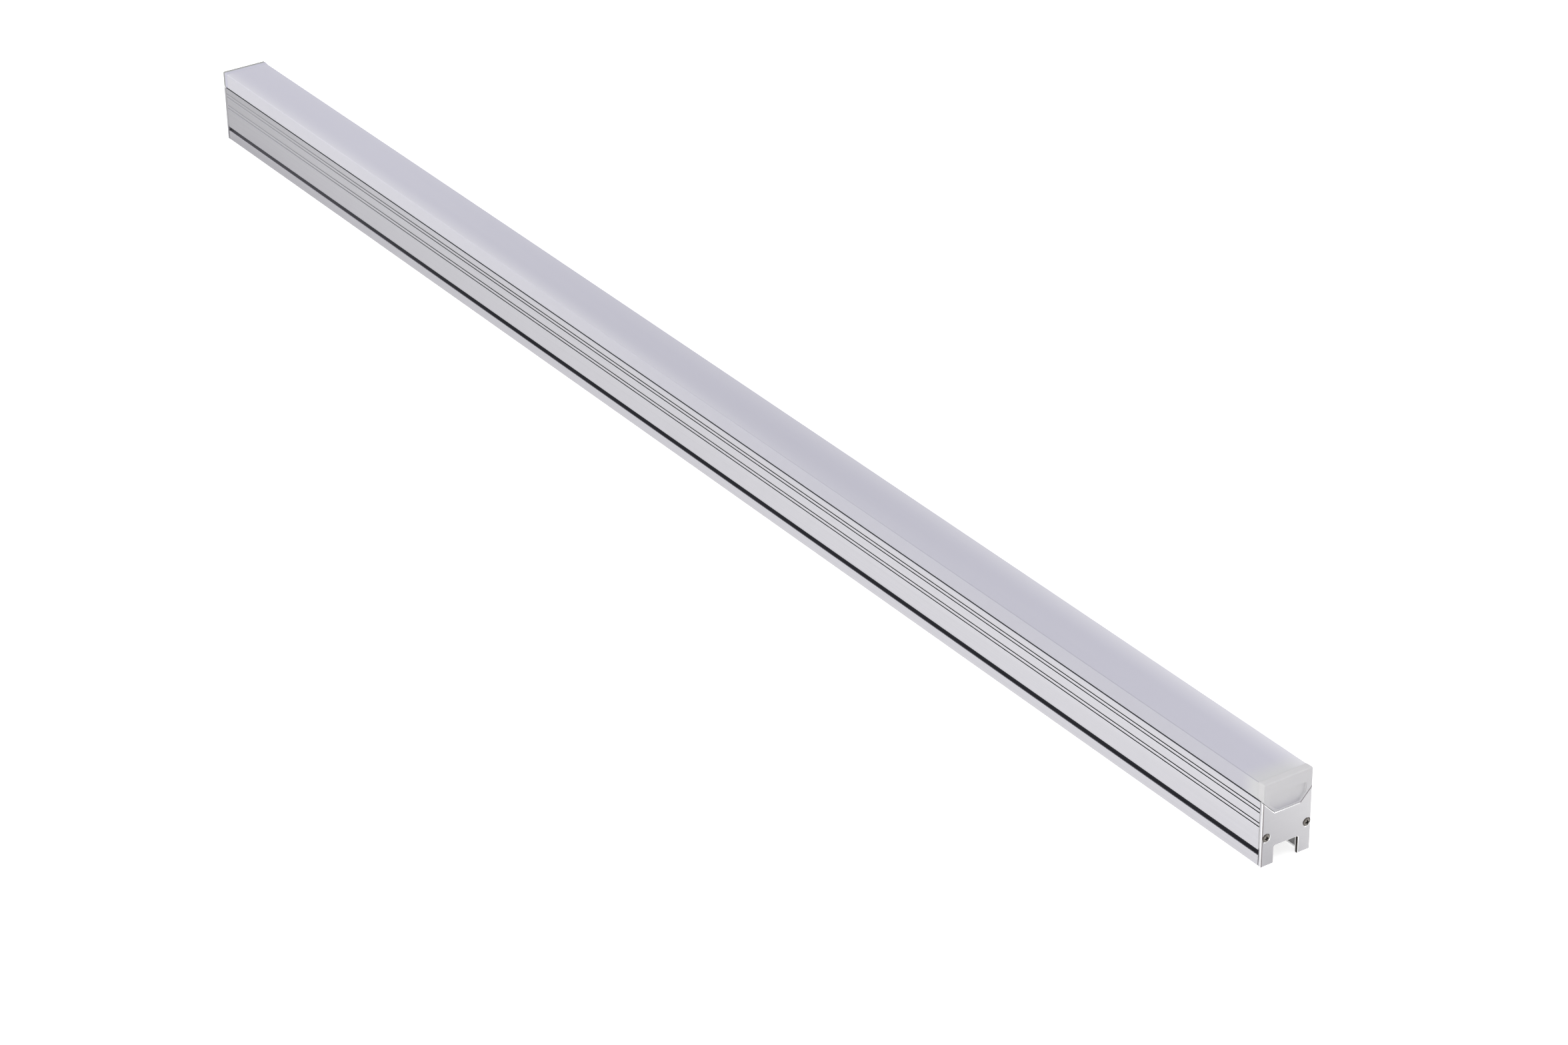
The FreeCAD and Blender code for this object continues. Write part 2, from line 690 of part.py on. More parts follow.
def led_packages(label, turn):
    body = new_part(label, turn)
    outline = sketch_on(body, "XY_Plane", shift="board_top", along="first_led")
    add_loop(outline, rectangle("-led_size / 2", "led_size / 2", "-led_size / 2", "led_size / 2"))
    package = pad(body, outline, "led_height")
    window = sketch_on(body, "XY_Plane", shift="board_top + led_height", along="first_led")
    add_circle(window, "0", "0", "led_window / 2")
    dish = pocket(body, window, "led_window_depth")
    repeat(body, [package, dish], "led_pitch", "led_count")


def driver_chips(label, turn):
    body = new_part(label, turn)
    case = sketch_on(body, "XY_Plane", shift="board_top", along="first_chip", up="side_row")
    add_loop(case, rectangle("-chip_length / 2", "chip_length / 2", "-chip_width / 2", "chip_width / 2"))
    moulding = pad(body, case, "chip_height")
    leads = sketch_on(body, "XY_Plane", shift="board_top", along="first_chip", up="side_row")
    add_loop(leads, rectangle(
        "-(chip_length / 2 - lead_thickness)", "chip_length / 2 - lead_thickness",
        "-chip_leads / 2", "chip_leads / 2"))
    feet = pad(body, leads, "lead_thickness")
    repeat(body, [moulding, feet], "chip_pitch", "chip_count")


def chip_resistors(label, turn):
    body = new_part(label, turn)
    outline = sketch_on(body, "XY_Plane", shift="board_top", along="first_chip", up="-(side_row)")
    add_loop(outline, rectangle(
        "-resistor_length / 2", "resistor_length / 2", "-resistor_width / 2", "resistor_width / 2"))
    chip = pad(body, outline, "resistor_height")
    repeat(body, [chip], "led_pitch", "resistor_count")


def input_capacitor(label, turn):
    body = new_part(label, turn)
    place = {"along": "inlet - terminal_distance - terminal_length / 2", "up": "-(side_row)"}
    base = sketch_on(body, "XY_Plane", shift="board_top", **place)
    add_loop(base, rectangle(
        "-capacitor_base / 2", "capacitor_base / 2", "-capacitor_base / 2", "capacitor_base / 2"))
    pad(body, base, "capacitor_base_height")
    can = sketch_on(body, "XY_Plane", shift="board_top", **place)
    add_circle(can, "0", "0", "capacitor_diameter / 2")
    pad(body, can, "capacitor_base_height + capacitor_height")


def wire_terminal(label, turn):
    body = new_part(label, turn)
    outline = sketch_on(body, "XY_Plane", shift="board_top")
    add_loop(outline, rectangle(
        "inlet - terminal_distance - terminal_length", "inlet - terminal_distance",
        "terminal_offset", "terminal_offset + terminal_width"))
    pad(body, outline, "terminal_height")
    entry = sketch_on(body, "YZ_Plane", shift="inlet - terminal_distance")
    add_circle(entry, "terminal_offset + terminal_width / 2 + (wire_count - 1) / 2 * wire_pitch",
               "board_top + terminal_height / 2", "wire_hole / 2")
    hole = pocket(body, entry, "wire_hole_depth")
    repeat(body, [hole], "wire_pitch", "wire_count", axis="Y_Axis")


def link_socket(label, turn):
    body = new_part(label, turn)
    outline = sketch_on(body, "XY_Plane", shift="board_top")
    add_loop(outline, rectangle(
        "socket_start", "socket_start + socket_length", "-socket_width / 2", "socket_width / 2"))
    pad(body, outline, "socket_height")
    cavity = sketch_on(body, "YZ_Plane", shift="socket_start")
    add_loop(cavity, rectangle(
        "-(socket_width / 2 - socket_wall)", "socket_width / 2 - socket_wall",
        "board_top + socket_wall", "board_top + socket_height - socket_wall"))
    pocket(body, cavity, "socket_cavity", backwards=True)


def link_plug():
    """Bridge that reaches into the sockets of both boards."""
    body = new_part("link_plug")
    section = sketch_on(body, "YZ_Plane")
    add_loop(section, rectangle(
        "-(socket_width / 2 - plug_inset)", "socket_width / 2 - plug_inset",
        "board_top + plug_inset", "board_top + socket_height - plug_inset"))
    pad(body, section, "2 * (socket_start + socket_cavity - plug_play)", both_ways=True)


def cable_grommet(label, turn):
    """Rubber grommet in the board shelf, with a tapered sleeve down into the channel."""
    body = new_part(label, turn)
    outline = sketch_on(body, "XZ_Plane", along="inlet")
    add_loop(outline, [
        ("cable_bore / 2", "web_top + grommet_top_height"),
        ("top_flange_radius", "web_top + grommet_top_height"),
        ("top_flange_radius", "web_top"),
        ("neck_radius", "web_top"),
        ("neck_radius", "web_foot"),
        ("low_flange_radius", "web_foot"),
        ("low_flange_radius", "web_foot - grommet_low_height"),
        ("neck_radius", "web_foot - grommet_sleeve"),
        ("cable_bore / 2", "web_foot - grommet_sleeve"),
    ])
    revolve(body, outline, "V_Axis")


housing_profile()
diffuser_cover()
cover_seal("cover_seal_left", "-")
cover_seal("cover_seal_right", "")
for end, turn in (("near", 0.0), ("far", 180.0)):
    end_cap(f"end_cap_{end}", turn)
    end_plate(f"end_plate_{end}", turn)
    end_gasket(f"end_gasket_{end}", turn)
    plate_screws(f"plate_screws_{end}", turn)
    thermal_tape(f"thermal_tape_{end}", turn)
    led_board(f"led_board_{end}", turn)
    led_packages(f"led_packages_{end}", turn)
    driver_chips(f"driver_chips_{end}", turn)
    chip_resistors(f"chip_resistors_{end}", turn)
    input_capacitor(f"input_capacitor_{end}", turn)
    wire_terminal(f"wire_terminal_{end}", turn)
    link_socket(f"link_socket_{end}", turn)
    cable_grommet(f"cable_grommet_{end}", turn)
link_plug()
doc.recompute()

for item in doc.Objects:
    if "Invalid" in item.State or "Error" in item.State:
        raise ValueError(f"{item.Label} failed: {item.State}")
for body in parts:
    if body.Shape.isNull() or not body.Shape.isValid():
        raise ValueError(f"{body.Label} has no valid shape")

os.makedirs("parts", exist_ok=True)
for body in parts:
    body.Shape.exportStep(f"parts/{body.Label}.step")
    box = body.Shape.BoundBox
    corners = [round(place, 2) for place in (box.XMin, box.XMax, box.YMin, box.YMax, box.ZMin, box.ZMax)]
    print(f"{body.Label}: {len(body.Shape.Solids)} solids, {body.Shape.Volume:.1f} mm3, box {corners}")
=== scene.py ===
import math

import bmesh
import bpy
from mathutils import Matrix, Quaternion, Vector


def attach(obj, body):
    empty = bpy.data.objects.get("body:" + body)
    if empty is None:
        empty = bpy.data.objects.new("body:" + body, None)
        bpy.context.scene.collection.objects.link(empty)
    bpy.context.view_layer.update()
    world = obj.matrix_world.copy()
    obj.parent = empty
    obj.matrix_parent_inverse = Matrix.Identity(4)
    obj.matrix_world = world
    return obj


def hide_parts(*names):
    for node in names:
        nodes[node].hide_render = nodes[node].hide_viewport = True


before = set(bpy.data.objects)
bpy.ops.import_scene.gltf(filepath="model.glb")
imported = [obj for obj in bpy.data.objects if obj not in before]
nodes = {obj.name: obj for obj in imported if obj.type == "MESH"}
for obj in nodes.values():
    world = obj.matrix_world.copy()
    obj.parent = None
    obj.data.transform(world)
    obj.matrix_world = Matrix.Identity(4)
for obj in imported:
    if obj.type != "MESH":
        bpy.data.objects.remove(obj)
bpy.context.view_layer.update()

# A wall washer light one metre long: an anodised aluminium rail on two legs, an opal cover snapped
# onto it, and at each end a moulded cap and a screwed sheet plate. Shapes are built in millimetres
# at the near end (+X); the far pieces are the same, turned half round about Z.

scene = bpy.context.scene
mm = 0.001
ends = ("near", "far")


# nodes, colours and meshes

def addNode(tree, kind, settings=None, links=None):
    node = tree.nodes.new(kind)
    for name, value in (settings or {}).items():
        if isinstance(name, int) or name in node.inputs:
            node.inputs[name].default_value = value
        else:
            setattr(node, name, value)
    for name, source in (links or {}).items():
        tree.links.new(source, node.inputs[name])
    return node


def linear(hexText):
    channels = [int(hexText[i:i + 2], 16) / 255 for i in (1, 3, 5)]
    return [c / 12.92 if c <= 0.04045 else ((c + 0.055) / 1.055) ** 2.4 for c in channels] + [1.0]


def newMaterial(name, settings):
    material = bpy.data.materials.new(name)
    material.use_nodes = True
    tree = material.node_tree
    tree.nodes.clear()
    shader = addNode(tree, "ShaderNodeBsdfPrincipled", settings)
    addNode(tree, "ShaderNodeOutputMaterial", links={"Surface": shader.outputs["BSDF"]})
    return material, tree, shader


def axesOf(tree, kind, output):
    # X, Y and Z of a place on the object or of the way that a face points
    source = addNode(tree, kind)
    return addNode(tree, "ShaderNodeSeparateXYZ", links={0: source.outputs[output]}).outputs


def noiseOver(tree, cell):
    # noise with cells of so many millimetres along X, Y and Z
    place = addNode(tree, "ShaderNodeTexCoord")
    stretch = addNode(tree, "ShaderNodeMapping", {"Scale": [1 / (mm * size) for size in cell]},
                      {"Vector": place.outputs["Object"]})
    return addNode(tree, "ShaderNodeTexNoise", {"Scale": 1.0, "Detail": 2.0},
                   {"Vector": stretch.outputs["Vector"]}).outputs[0]


def tinted(tree, shader, pattern, lowHex, highHex):
    mixed = addNode(tree, "ShaderNodeMix", {"data_type": "RGBA", 6: linear(lowHex), 7: linear(highHex)},
                    {0: pattern})
    tree.links.new(mixed.outputs[2], shader.inputs["Base Color"])


def varied(tree, shader, socket, pattern, low, high):
    ranged = addNode(tree, "ShaderNodeMapRange",
                     {"From Min": 0.3, "From Max": 0.7, "To Min": low, "To Max": high}, {"Value": pattern})
    tree.links.new(ranged.outputs[0], shader.inputs[socket])


def raised(tree, shader, pattern, depth):
    # relief so many millimetres deep
    bump = addNode(tree, "ShaderNodeBump", {"Strength": 1.0, "Distance": depth * mm},
                   {"Height": pattern})
    tree.links.new(bump.outputs["Normal"], shader.inputs["Normal"])


def mirrored(half):
    return half + [(-across, up) for across, up in reversed(half)]


def prism(outline, start, stop):
    # an outline of (Y, Z) points drawn out along X
    bm = bmesh.new()
    face = bm.faces.new([bm.verts.new((start, across, up)) for across, up in outline])
    grown = bmesh.ops.extrude_face_region(bm, geom=[face])["geom"]
    moved = [item for item in grown if isinstance(item, bmesh.types.BMVert)]
    bmesh.ops.translate(bm, verts=moved, vec=(stop - start, 0, 0))
    bmesh.ops.recalc_face_normals(bm, faces=bm.faces)
    return bm


def block(low, high):
    bm = bmesh.new()
    bmesh.ops.create_cube(bm, size=1.0)
    low, high = Vector(low), Vector(high)
    bmesh.ops.scale(bm, verts=bm.verts, vec=high - low)
    bmesh.ops.translate(bm, verts=bm.verts, vec=(low + high) / 2)
    return bm


def lathe(profile, centre, along, steps):
    # a profile of (radius, distance along the axis) points turned round an axis through centre
    bm = bmesh.new()
    verts = [bm.verts.new((radius, 0, height)) for radius, height in profile]
    edges = [bm.edges.new(pair) for pair in zip(verts, verts[1:])]
    bmesh.ops.spin(bm, geom=verts + edges, cent=(0, 0, 0), axis=(0, 0, 1), angle=2 * math.pi,
                   steps=steps, use_merge=True)
    bmesh.ops.remove_doubles(bm, verts=bm.verts, dist=1e-4)
    if along == "X":
        bmesh.ops.rotate(bm, verts=bm.verts, cent=(0, 0, 0), matrix=Matrix.Rotation(math.pi / 2, 3, "Y"))
    bmesh.ops.translate(bm, verts=bm.verts, vec=centre)
    bmesh.ops.recalc_face_normals(bm, faces=bm.faces)
    return bm


def rounded(bm, radius, segments, chosen):
    edges = [edge for edge in bm.edges if chosen(edge.verts[0].co, edge.verts[1].co)]
    bmesh.ops.bevel(bm, geom=edges, offset=radius, offset_type="OFFSET", affect="EDGES",
                    segments=segments, profile=0.5, material=-1, clamp_overlap=True)


def alongX(*corners):
    # the long edges at these (Y, Z) corners, on both sides
    return lambda a, b: abs(a.x - b.x) > 0.5 and any(
        math.hypot(abs(a.y) - across, a.z - up) < 0.02 for across, up in corners)


def atX(place):
    return lambda a, b: abs(a.x - place) < 0.01 and abs(b.x - place) < 0.01


def joined(*shapes):
    bm = shapes[0]
    for shape in shapes[1:]:
        spare = bpy.data.meshes.new("spare")
        shape.to_mesh(spare)
        shape.free()
        bm.from_mesh(spare)
        bpy.data.meshes.remove(spare)
    return bm


def repeated(bm, steps):
    # copies of the whole shape, each moved by one step
    source = bm.verts[:] + bm.edges[:] + bm.faces[:]
    for step in steps:
        copy = bmesh.ops.duplicate(bm, geom=source)["geom"]
        moved = [item for item in copy if isinstance(item, bmesh.types.BMVert)]
        bmesh.ops.translate(bm, verts=moved, vec=step)
    return bm


def carved(bm, tools, operation="DIFFERENCE"):
    made = []
    for shape in [bm] + tools:
        thing = bpy.data.objects.new("carving", bpy.data.meshes.new("carving"))
        shape.to_mesh(thing.data)
        shape.free()
        scene.collection.objects.link(thing)
        made.append(thing)
    for tool in made[1:]:
        cut = made[0].modifiers.new("cut", "BOOLEAN")
        cut.operation = operation
        cut.solver = "EXACT"
        cut.object = tool
    bpy.context.view_layer.update()
    result = bmesh.new()
    mesh = bpy.data.meshes.new_from_object(
        made[0].evaluated_get(bpy.context.evaluated_depsgraph_get()))
    result.from_mesh(mesh)
    bpy.data.meshes.remove(mesh)
    for thing in made:
        data = thing.data
        bpy.data.objects.remove(thing)
        bpy.data.meshes.remove(data)
    bmesh.ops.remove_doubles(result, verts=result.verts, dist=1e-3)
    bmesh.ops.dissolve_degenerate(result, edges=result.edges, dist=1e-4)
    return result


def painted(bm, index, chosen):
    bm.normal_update()
    for face in bm.faces:
        if chosen(face.calc_center_median(), face.normal):
            face.material_index = index


def finishPiece(bm, name, materials, node, end="near", sharp=32):
    if end == "far":
        bmesh.ops.rotate(bm, verts=bm.verts, cent=(0, 0, 0), matrix=Matrix.Rotation(math.pi, 3, "Z"))
    bmesh.ops.scale(bm, verts=bm.verts, vec=(mm, mm, mm))
    mesh = bpy.data.meshes.new(name)
    bm.to_mesh(mesh)
    bm.free()
    mesh.shade_smooth()
    mesh.set_sharp_from_angle(angle=math.radians(sharp))
    for material in materials:
        mesh.materials.append(material)
    piece = bpy.data.objects.new(name, mesh)
    scene.collection.objects.link(piece)
    even = piece.modifiers.new("even", "WEIGHTED_NORMAL")  # flat faces stay flat beside their roundings
    even.keep_sharp = True
    even.weight = 100
    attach(piece, "root")
    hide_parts(node)
    print("built", name)
    return piece


def dress(node, material):
    # a CAD node that keeps its shape and gets a finish
    slots = nodes[node].data.materials
    slots.clear()
    slots.append(material)
    print("dressed", node)


# the view: camera, floor and lamps

view = {
    "place": (1797.989, -1135.884, 1128.733),  # mm
    "target": (138.36, -31.29, 22.0),
    "roll": -0.912,  # degrees
    "lens": 102.70,  # mm, on a sensor 36 mm wide
}

scene.view_settings.view_transform = "Standard"
camera = bpy.data.objects.new("camera", bpy.data.cameras.new("camera"))
scene.collection.objects.link(camera)
scene.camera = camera
camera.data.lens = view["lens"]
camera.data.sensor_width = 36.0
camera.data.clip_end = 80.0
camera.location = Vector(view["place"]) * mm
look = Vector(view["target"]) * mm - camera.location
camera.rotation_mode = "QUATERNION"
roll = Quaternion((0, 0, 1), math.radians(view["roll"]))
camera.rotation_quaternion = look.to_track_quat("-Z", "Y") @ roll

studio = {
    "floorHalf": 15.0,  # metres
    "floorTone": "#E6E6E6",
    "floorGlow": 0.68,  # lifts the lit floor to white for the camera, and leaves a pale shadow
    "mirrorGlow": 0.48,  # the same for mirror and glass rays at the near end, less towards the far end
    "mirrorFade": (0.45, -0.55, 2.2),  # X in metres where it starts and ends, and its power
    "ambient": 0.55,  # the world's light on the object
    "lamps": {  # place, target and size in mm, watts
        "overheadNear": ((600, 150, 800), (520, 0, 20), (400, 400), 1.2),
        "overheadFar": ((-600, 150, 800), (-500, 0, 20), (400, 400), 1.2),
        "frontBox": ((-500, -1300, 450), (-250, 0, 20), (1300, 500), 7.8),
        "nearBox": ((1300, -900, 300), (450, 0, 20), (500, 400), 3.2),
        "backBox": ((800, 800, 260), (350, 0, 20), (700, 300), 3.0),
    },
}


def rayFlag(tree):
    # 1 for camera, glossy and transmission rays, 0 for diffuse light
    path = addNode(tree, "ShaderNodeLightPath")
    seen = addNode(tree, "ShaderNodeMath", {"operation": "MAXIMUM"},
                   {0: path.outputs["Is Camera Ray"], 1: path.outputs["Is Glossy Ray"]})
    seen = addNode(tree, "ShaderNodeMath", {"operation": "MAXIMUM"},
                   {0: seen.outputs[0], 1: path.outputs["Is Transmission Ray"]})
    return seen.outputs[0]


def makeStudio(values):
    world = bpy.data.worlds.new("studio")
    scene.world = world
    world.use_nodes = True
    tree = world.node_tree
    tree.nodes.clear()
    strength = addNode(tree, "ShaderNodeMapRange", {"To Min": values["ambient"], "To Max": 1.0},
                       {"Value": rayFlag(tree)})
    sky = addNode(tree, "ShaderNodeBackground", {"Color": (1, 1, 1, 1)}, {"Strength": strength.outputs[0]})
    addNode(tree, "ShaderNodeOutputWorld", links={"Surface": sky.outputs[0]})

    material, tree, shader = newMaterial("mattWhiteFloor", {
        "Base Color": linear(values["floorTone"]), "Roughness": 0.9, "Specular IOR Level": 0.0,
        "Emission Color": (1, 1, 1, 1)})
    # mirrors see the floor fade towards the far end, as the metal does in the studio
    fadeFrom, fadeTo, fadePower = values["mirrorFade"]
    place = axesOf(tree, "ShaderNodeTexCoord", "Object")
    fade = addNode(tree, "ShaderNodeMapRange", {"From Min": fadeFrom, "From Max": fadeTo},
                   {"Value": place["X"]})
    eased = addNode(tree, "ShaderNodeMath", {"operation": "POWER", 1: fadePower}, {0: fade.outputs[0]})
    mirror = addNode(tree, "ShaderNodeMapRange", {"To Min": values["mirrorGlow"], "To Max": 0.0},
                     {"Value": eased.outputs[0]})
    path = addNode(tree, "ShaderNodeLightPath")
    chosen = addNode(tree, "ShaderNodeMix", {"data_type": "FLOAT", 3: values["floorGlow"]},
                     {0: path.outputs["Is Camera Ray"], 2: mirror.outputs[0]})
    glow = addNode(tree, "ShaderNodeMath", {"operation": "MULTIPLY"},
                   {0: rayFlag(tree), 1: chosen.outputs[0]})
    tree.links.new(glow.outputs[0], shader.inputs["Emission Strength"])
    bm = bmesh.new()
    bmesh.ops.create_grid(bm, x_segments=2, y_segments=2, size=values["floorHalf"])
    mesh = bpy.data.meshes.new("floor")
    bm.to_mesh(mesh)
    bm.free()
    mesh.materials.append(material)
    floor = bpy.data.objects.new("floor", mesh)
    scene.collection.objects.link(floor)

    for name, (place, target, size, watts) in values["lamps"].items():
        light = bpy.data.lights.new(name, "AREA")
        light.shape = "RECTANGLE"
        light.size, light.size_y = (side * mm for side in size)
        light.energy = watts
        stand = bpy.data.objects.new(name, light)
        scene.collection.objects.link(stand)
        stand.location = Vector(place) * mm
        aim = Vector(target) * mm - stand.location
        stand.rotation_mode = "QUATERNION"
        stand.rotation_quaternion = aim.to_track_quat("-Z", "Y")
    print("studio ready")


makeStudio(studio)


# finishes

metal = {"Metallic": 1.0}


def grained(name, settings, cell, tones, roughness, relief=0.0):
    # a finish whose colour, roughness and relief, in mm, all follow one pattern
    material, tree, shader = newMaterial(name, settings)
    pattern = noiseOver(tree, cell)
    tinted(tree, shader, pattern, *tones)
    varied(tree, shader, "Roughness", pattern, *roughness)
    if relief:
        raised(tree, shader, pattern, relief)
    return material


def anodisedAluminium():
    # extruded, etched matt and anodised: pale violet grey metal with faint die lines along the rail
    material, tree, shader = newMaterial("anodisedAluminium", metal)
    dieLines = noiseOver(tree, (350, 0.6, 0.6))  # real ones 0.1 to 0.3 mm apart, drawn coarser to show
    grain = noiseOver(tree, (0.5, 0.5, 0.5))  # etched grain, really about 0.1 mm
    tinted(tree, shader, dieLines, "#C7C6CB", "#D1D0D4")
    varied(tree, shader, "Roughness", grain, 0.36, 0.44)
    raised(tree, shader, dieLines, 0.002)
    return material


def paintedGrooveShade(name, darkHex, dimHex, farHex):
    # painted shade in a groove: dark, nearly black in the fine ones, lighter towards the far end
    material, tree, shader = newMaterial(name, metal)
    mottle = noiseOver(tree, (60, 0.3, 0.3))
    place = axesOf(tree, "ShaderNodeTexCoord", "Object")
    farFade = addNode(tree, "ShaderNodeMapRange", {
        "interpolation_type": "SMOOTHSTEP", "From Min": -0.15, "From Max": -0.49},
        {"Value": place["X"]})
    dark = addNode(tree, "ShaderNodeMix", {"data_type": "RGBA", 6: linear(darkHex), 7: linear(dimHex)},
                   {0: mottle})
    tone = addNode(tree, "ShaderNodeMix", {"data_type": "RGBA", 7: linear(farHex)},
                   {0: farFade.outputs[0], 6: dark.outputs[2]})
    tree.links.new(tone.outputs[2], shader.inputs["Base Color"])
    varied(tree, shader, "Roughness", mottle, 0.45, 0.55)
    return material


def sheetAluminium():
    # rolled sheet, matt anodised: a finer grey with a short upright grain across the plate
    material, tree, shader = newMaterial("sheetAluminium", metal)
    rolled = noiseOver(tree, (0.4, 18, 0.35))
    grain = noiseOver(tree, (0.4, 0.4, 0.4))
    # painted reflection: darker low on the left, for its own foot's shade, and paler high on the right,
    # for the open floor
    place = addNode(tree, "ShaderNodeTexCoord").outputs["Object"]
    slope = addNode(tree, "ShaderNodeVectorMath", {"operation": "DOT_PRODUCT", 1: (0, 0.35, 0.25)},
                    {0: place})
    paintedReflection = addNode(tree, "ShaderNodeMapRange", {"From Min": -2.7 * mm, "From Max": 11.2 * mm},
                       {"Value": slope.outputs["Value"]})
    dim, pale = (addNode(tree, "ShaderNodeMix", {"data_type": "RGBA", 6: linear(low), 7: linear(high)},
                         {0: rolled}) for low, high in (("#B0AFB3", "#B6B5B8"), ("#C5C4C7", "#CBCACC")))
    tone = addNode(tree, "ShaderNodeMix", {"data_type": "RGBA"},
                   {0: paintedReflection.outputs[0], 6: dim.outputs[2], 7: pale.outputs[2]})
    tree.links.new(tone.outputs[2], shader.inputs["Base Color"])
    varied(tree, shader, "Roughness", grain, 0.36, 0.44)
    raised(tree, shader, rolled, 0.0015)
    return material


def opalPolycarbonate():
    # extruded opal polycarbonate, satin: milky violet grey, light spreads a little in it, and the
    # near cap's spigot shows through the last centimetre as a neutral white
    material, tree, shader = newMaterial("opalPolycarbonate", {
        "IOR": 1.58, "Specular IOR Level": 0.1, "Subsurface Weight": 0.2,
        "Subsurface Radius": (1.0, 1.0, 1.0), "Subsurface Scale": 1.0 * mm})
    flow = noiseOver(tree, (220, 6, 6))
    satin = noiseOver(tree, (0.6, 0.6, 0.6))
    place = axesOf(tree, "ShaderNodeTexCoord", "Object")
    spigot = addNode(tree, "ShaderNodeMapRange", {
        "interpolation_type": "SMOOTHSTEP", "From Min": 482 * mm, "From Max": 495 * mm},
        {"Value": place["X"]})
    milk = addNode(tree, "ShaderNodeMix", {"data_type": "RGBA", 6: linear("#CFCEDB"), 7: linear("#D3D2DE")},
                   {0: flow})
    # painted light: the upright sides are given a more neutral tone, as if facing the light, palest at the
    # far end
    lean = axesOf(tree, "ShaderNodeNewGeometry", "Normal")
    aside = addNode(tree, "ShaderNodeMath", {"operation": "ABSOLUTE"}, {0: lean["Y"]})
    nearing = addNode(tree, "ShaderNodeMapRange", {
        "interpolation_type": "SMOOTHSTEP", "From Min": -0.3, "From Max": 0.15},
        {"Value": place["X"]})
    flank = addNode(tree, "ShaderNodeMix", {
        "data_type": "RGBA", 6: linear("#D6D5DC"), 7: linear("#CDCCD5")}, {0: nearing.outputs[0]})
    upright = addNode(tree, "ShaderNodeMath", {"operation": "POWER", 1: 3.0}, {0: aside.outputs[0]})
    sided = addNode(tree, "ShaderNodeMix", {"data_type": "RGBA"},
                    {0: upright.outputs[0], 6: milk.outputs[2], 7: flank.outputs[2]})
    tone = addNode(tree, "ShaderNodeMix", {"data_type": "RGBA", 7: linear("#DADADB")},
                   {0: spigot.outputs[0], 6: sided.outputs[2]})
    # painted shade: the top, and more so its rounded long corners, darker towards the near end
    turned = addNode(tree, "ShaderNodeMath", {"operation": "ADD", 1: 0.17}, {0: aside.outputs[0]})
    corner = addNode(tree, "ShaderNodeMath", {"operation": "MULTIPLY"},
                     {0: turned.outputs[0], 1: lean["Z"]})
    along = addNode(tree, "ShaderNodeMapRange", {
        "From Min": -0.35, "From Max": 0.1, "To Min": 0.05, "To Max": 1.3}, {"Value": place["X"]})
    depth = addNode(tree, "ShaderNodeMath", {"operation": "MULTIPLY", "use_clamp": True},
                    {0: corner.outputs[0], 1: along.outputs[0]})
    deep = addNode(tree, "ShaderNodeMix", {"data_type": "RGBA", 7: linear("#A9A8B4")},
                   {0: depth.outputs[0], 6: tone.outputs[2]})
    # painted light: seen from above, the top is paler along the front edge at the far end and along the
    # back edge at the near end, as if light from the sides welled up there: where it starts and ends in Y
    # and in
    # X, in metres, and how much
    frontWell = (-0.003, -0.013, 0.32, -0.15, 0.0, 0.47)
    backWell = (0.0, 0.0125, -0.12, 0.45, 0.126, 0.63)
    wells = []
    for acrossFrom, acrossTo, alongFrom, alongTo, least, most in (frontWell, backWell):
        edge = addNode(tree, "ShaderNodeMapRange", {"From Min": acrossFrom, "From Max": acrossTo},
                       {"Value": place["Y"]})
        eased = addNode(tree, "ShaderNodeMath", {"operation": "POWER", 1: 2.0}, {0: edge.outputs[0]})
        reach = addNode(tree, "ShaderNodeMapRange", {
            "From Min": alongFrom, "From Max": alongTo, "To Min": least, "To Max": most},
            {"Value": place["X"]})
        wells.append(addNode(tree, "ShaderNodeMath", {"operation": "MULTIPLY"},
                             {0: eased.outputs[0], 1: reach.outputs[0]}))
    welling = addNode(tree, "ShaderNodeMath", {"operation": "ADD"},
                      {0: wells[0].outputs[0], 1: wells[1].outputs[0]})
    above = addNode(tree, "ShaderNodeMath", {"operation": "MULTIPLY", "use_clamp": True},
                    {0: welling.outputs[0], 1: lean["Z"]})
    lit = addNode(tree, "ShaderNodeMix", {"data_type": "RGBA", 7: linear("#E9E8EE")},
                  {0: above.outputs[0], 6: deep.outputs[2]})
    tree.links.new(lit.outputs[2], shader.inputs["Base Color"])
    varied(tree, shader, "Roughness", satin, 0.6, 0.7)
    raised(tree, shader, satin, 0.002)
    return material


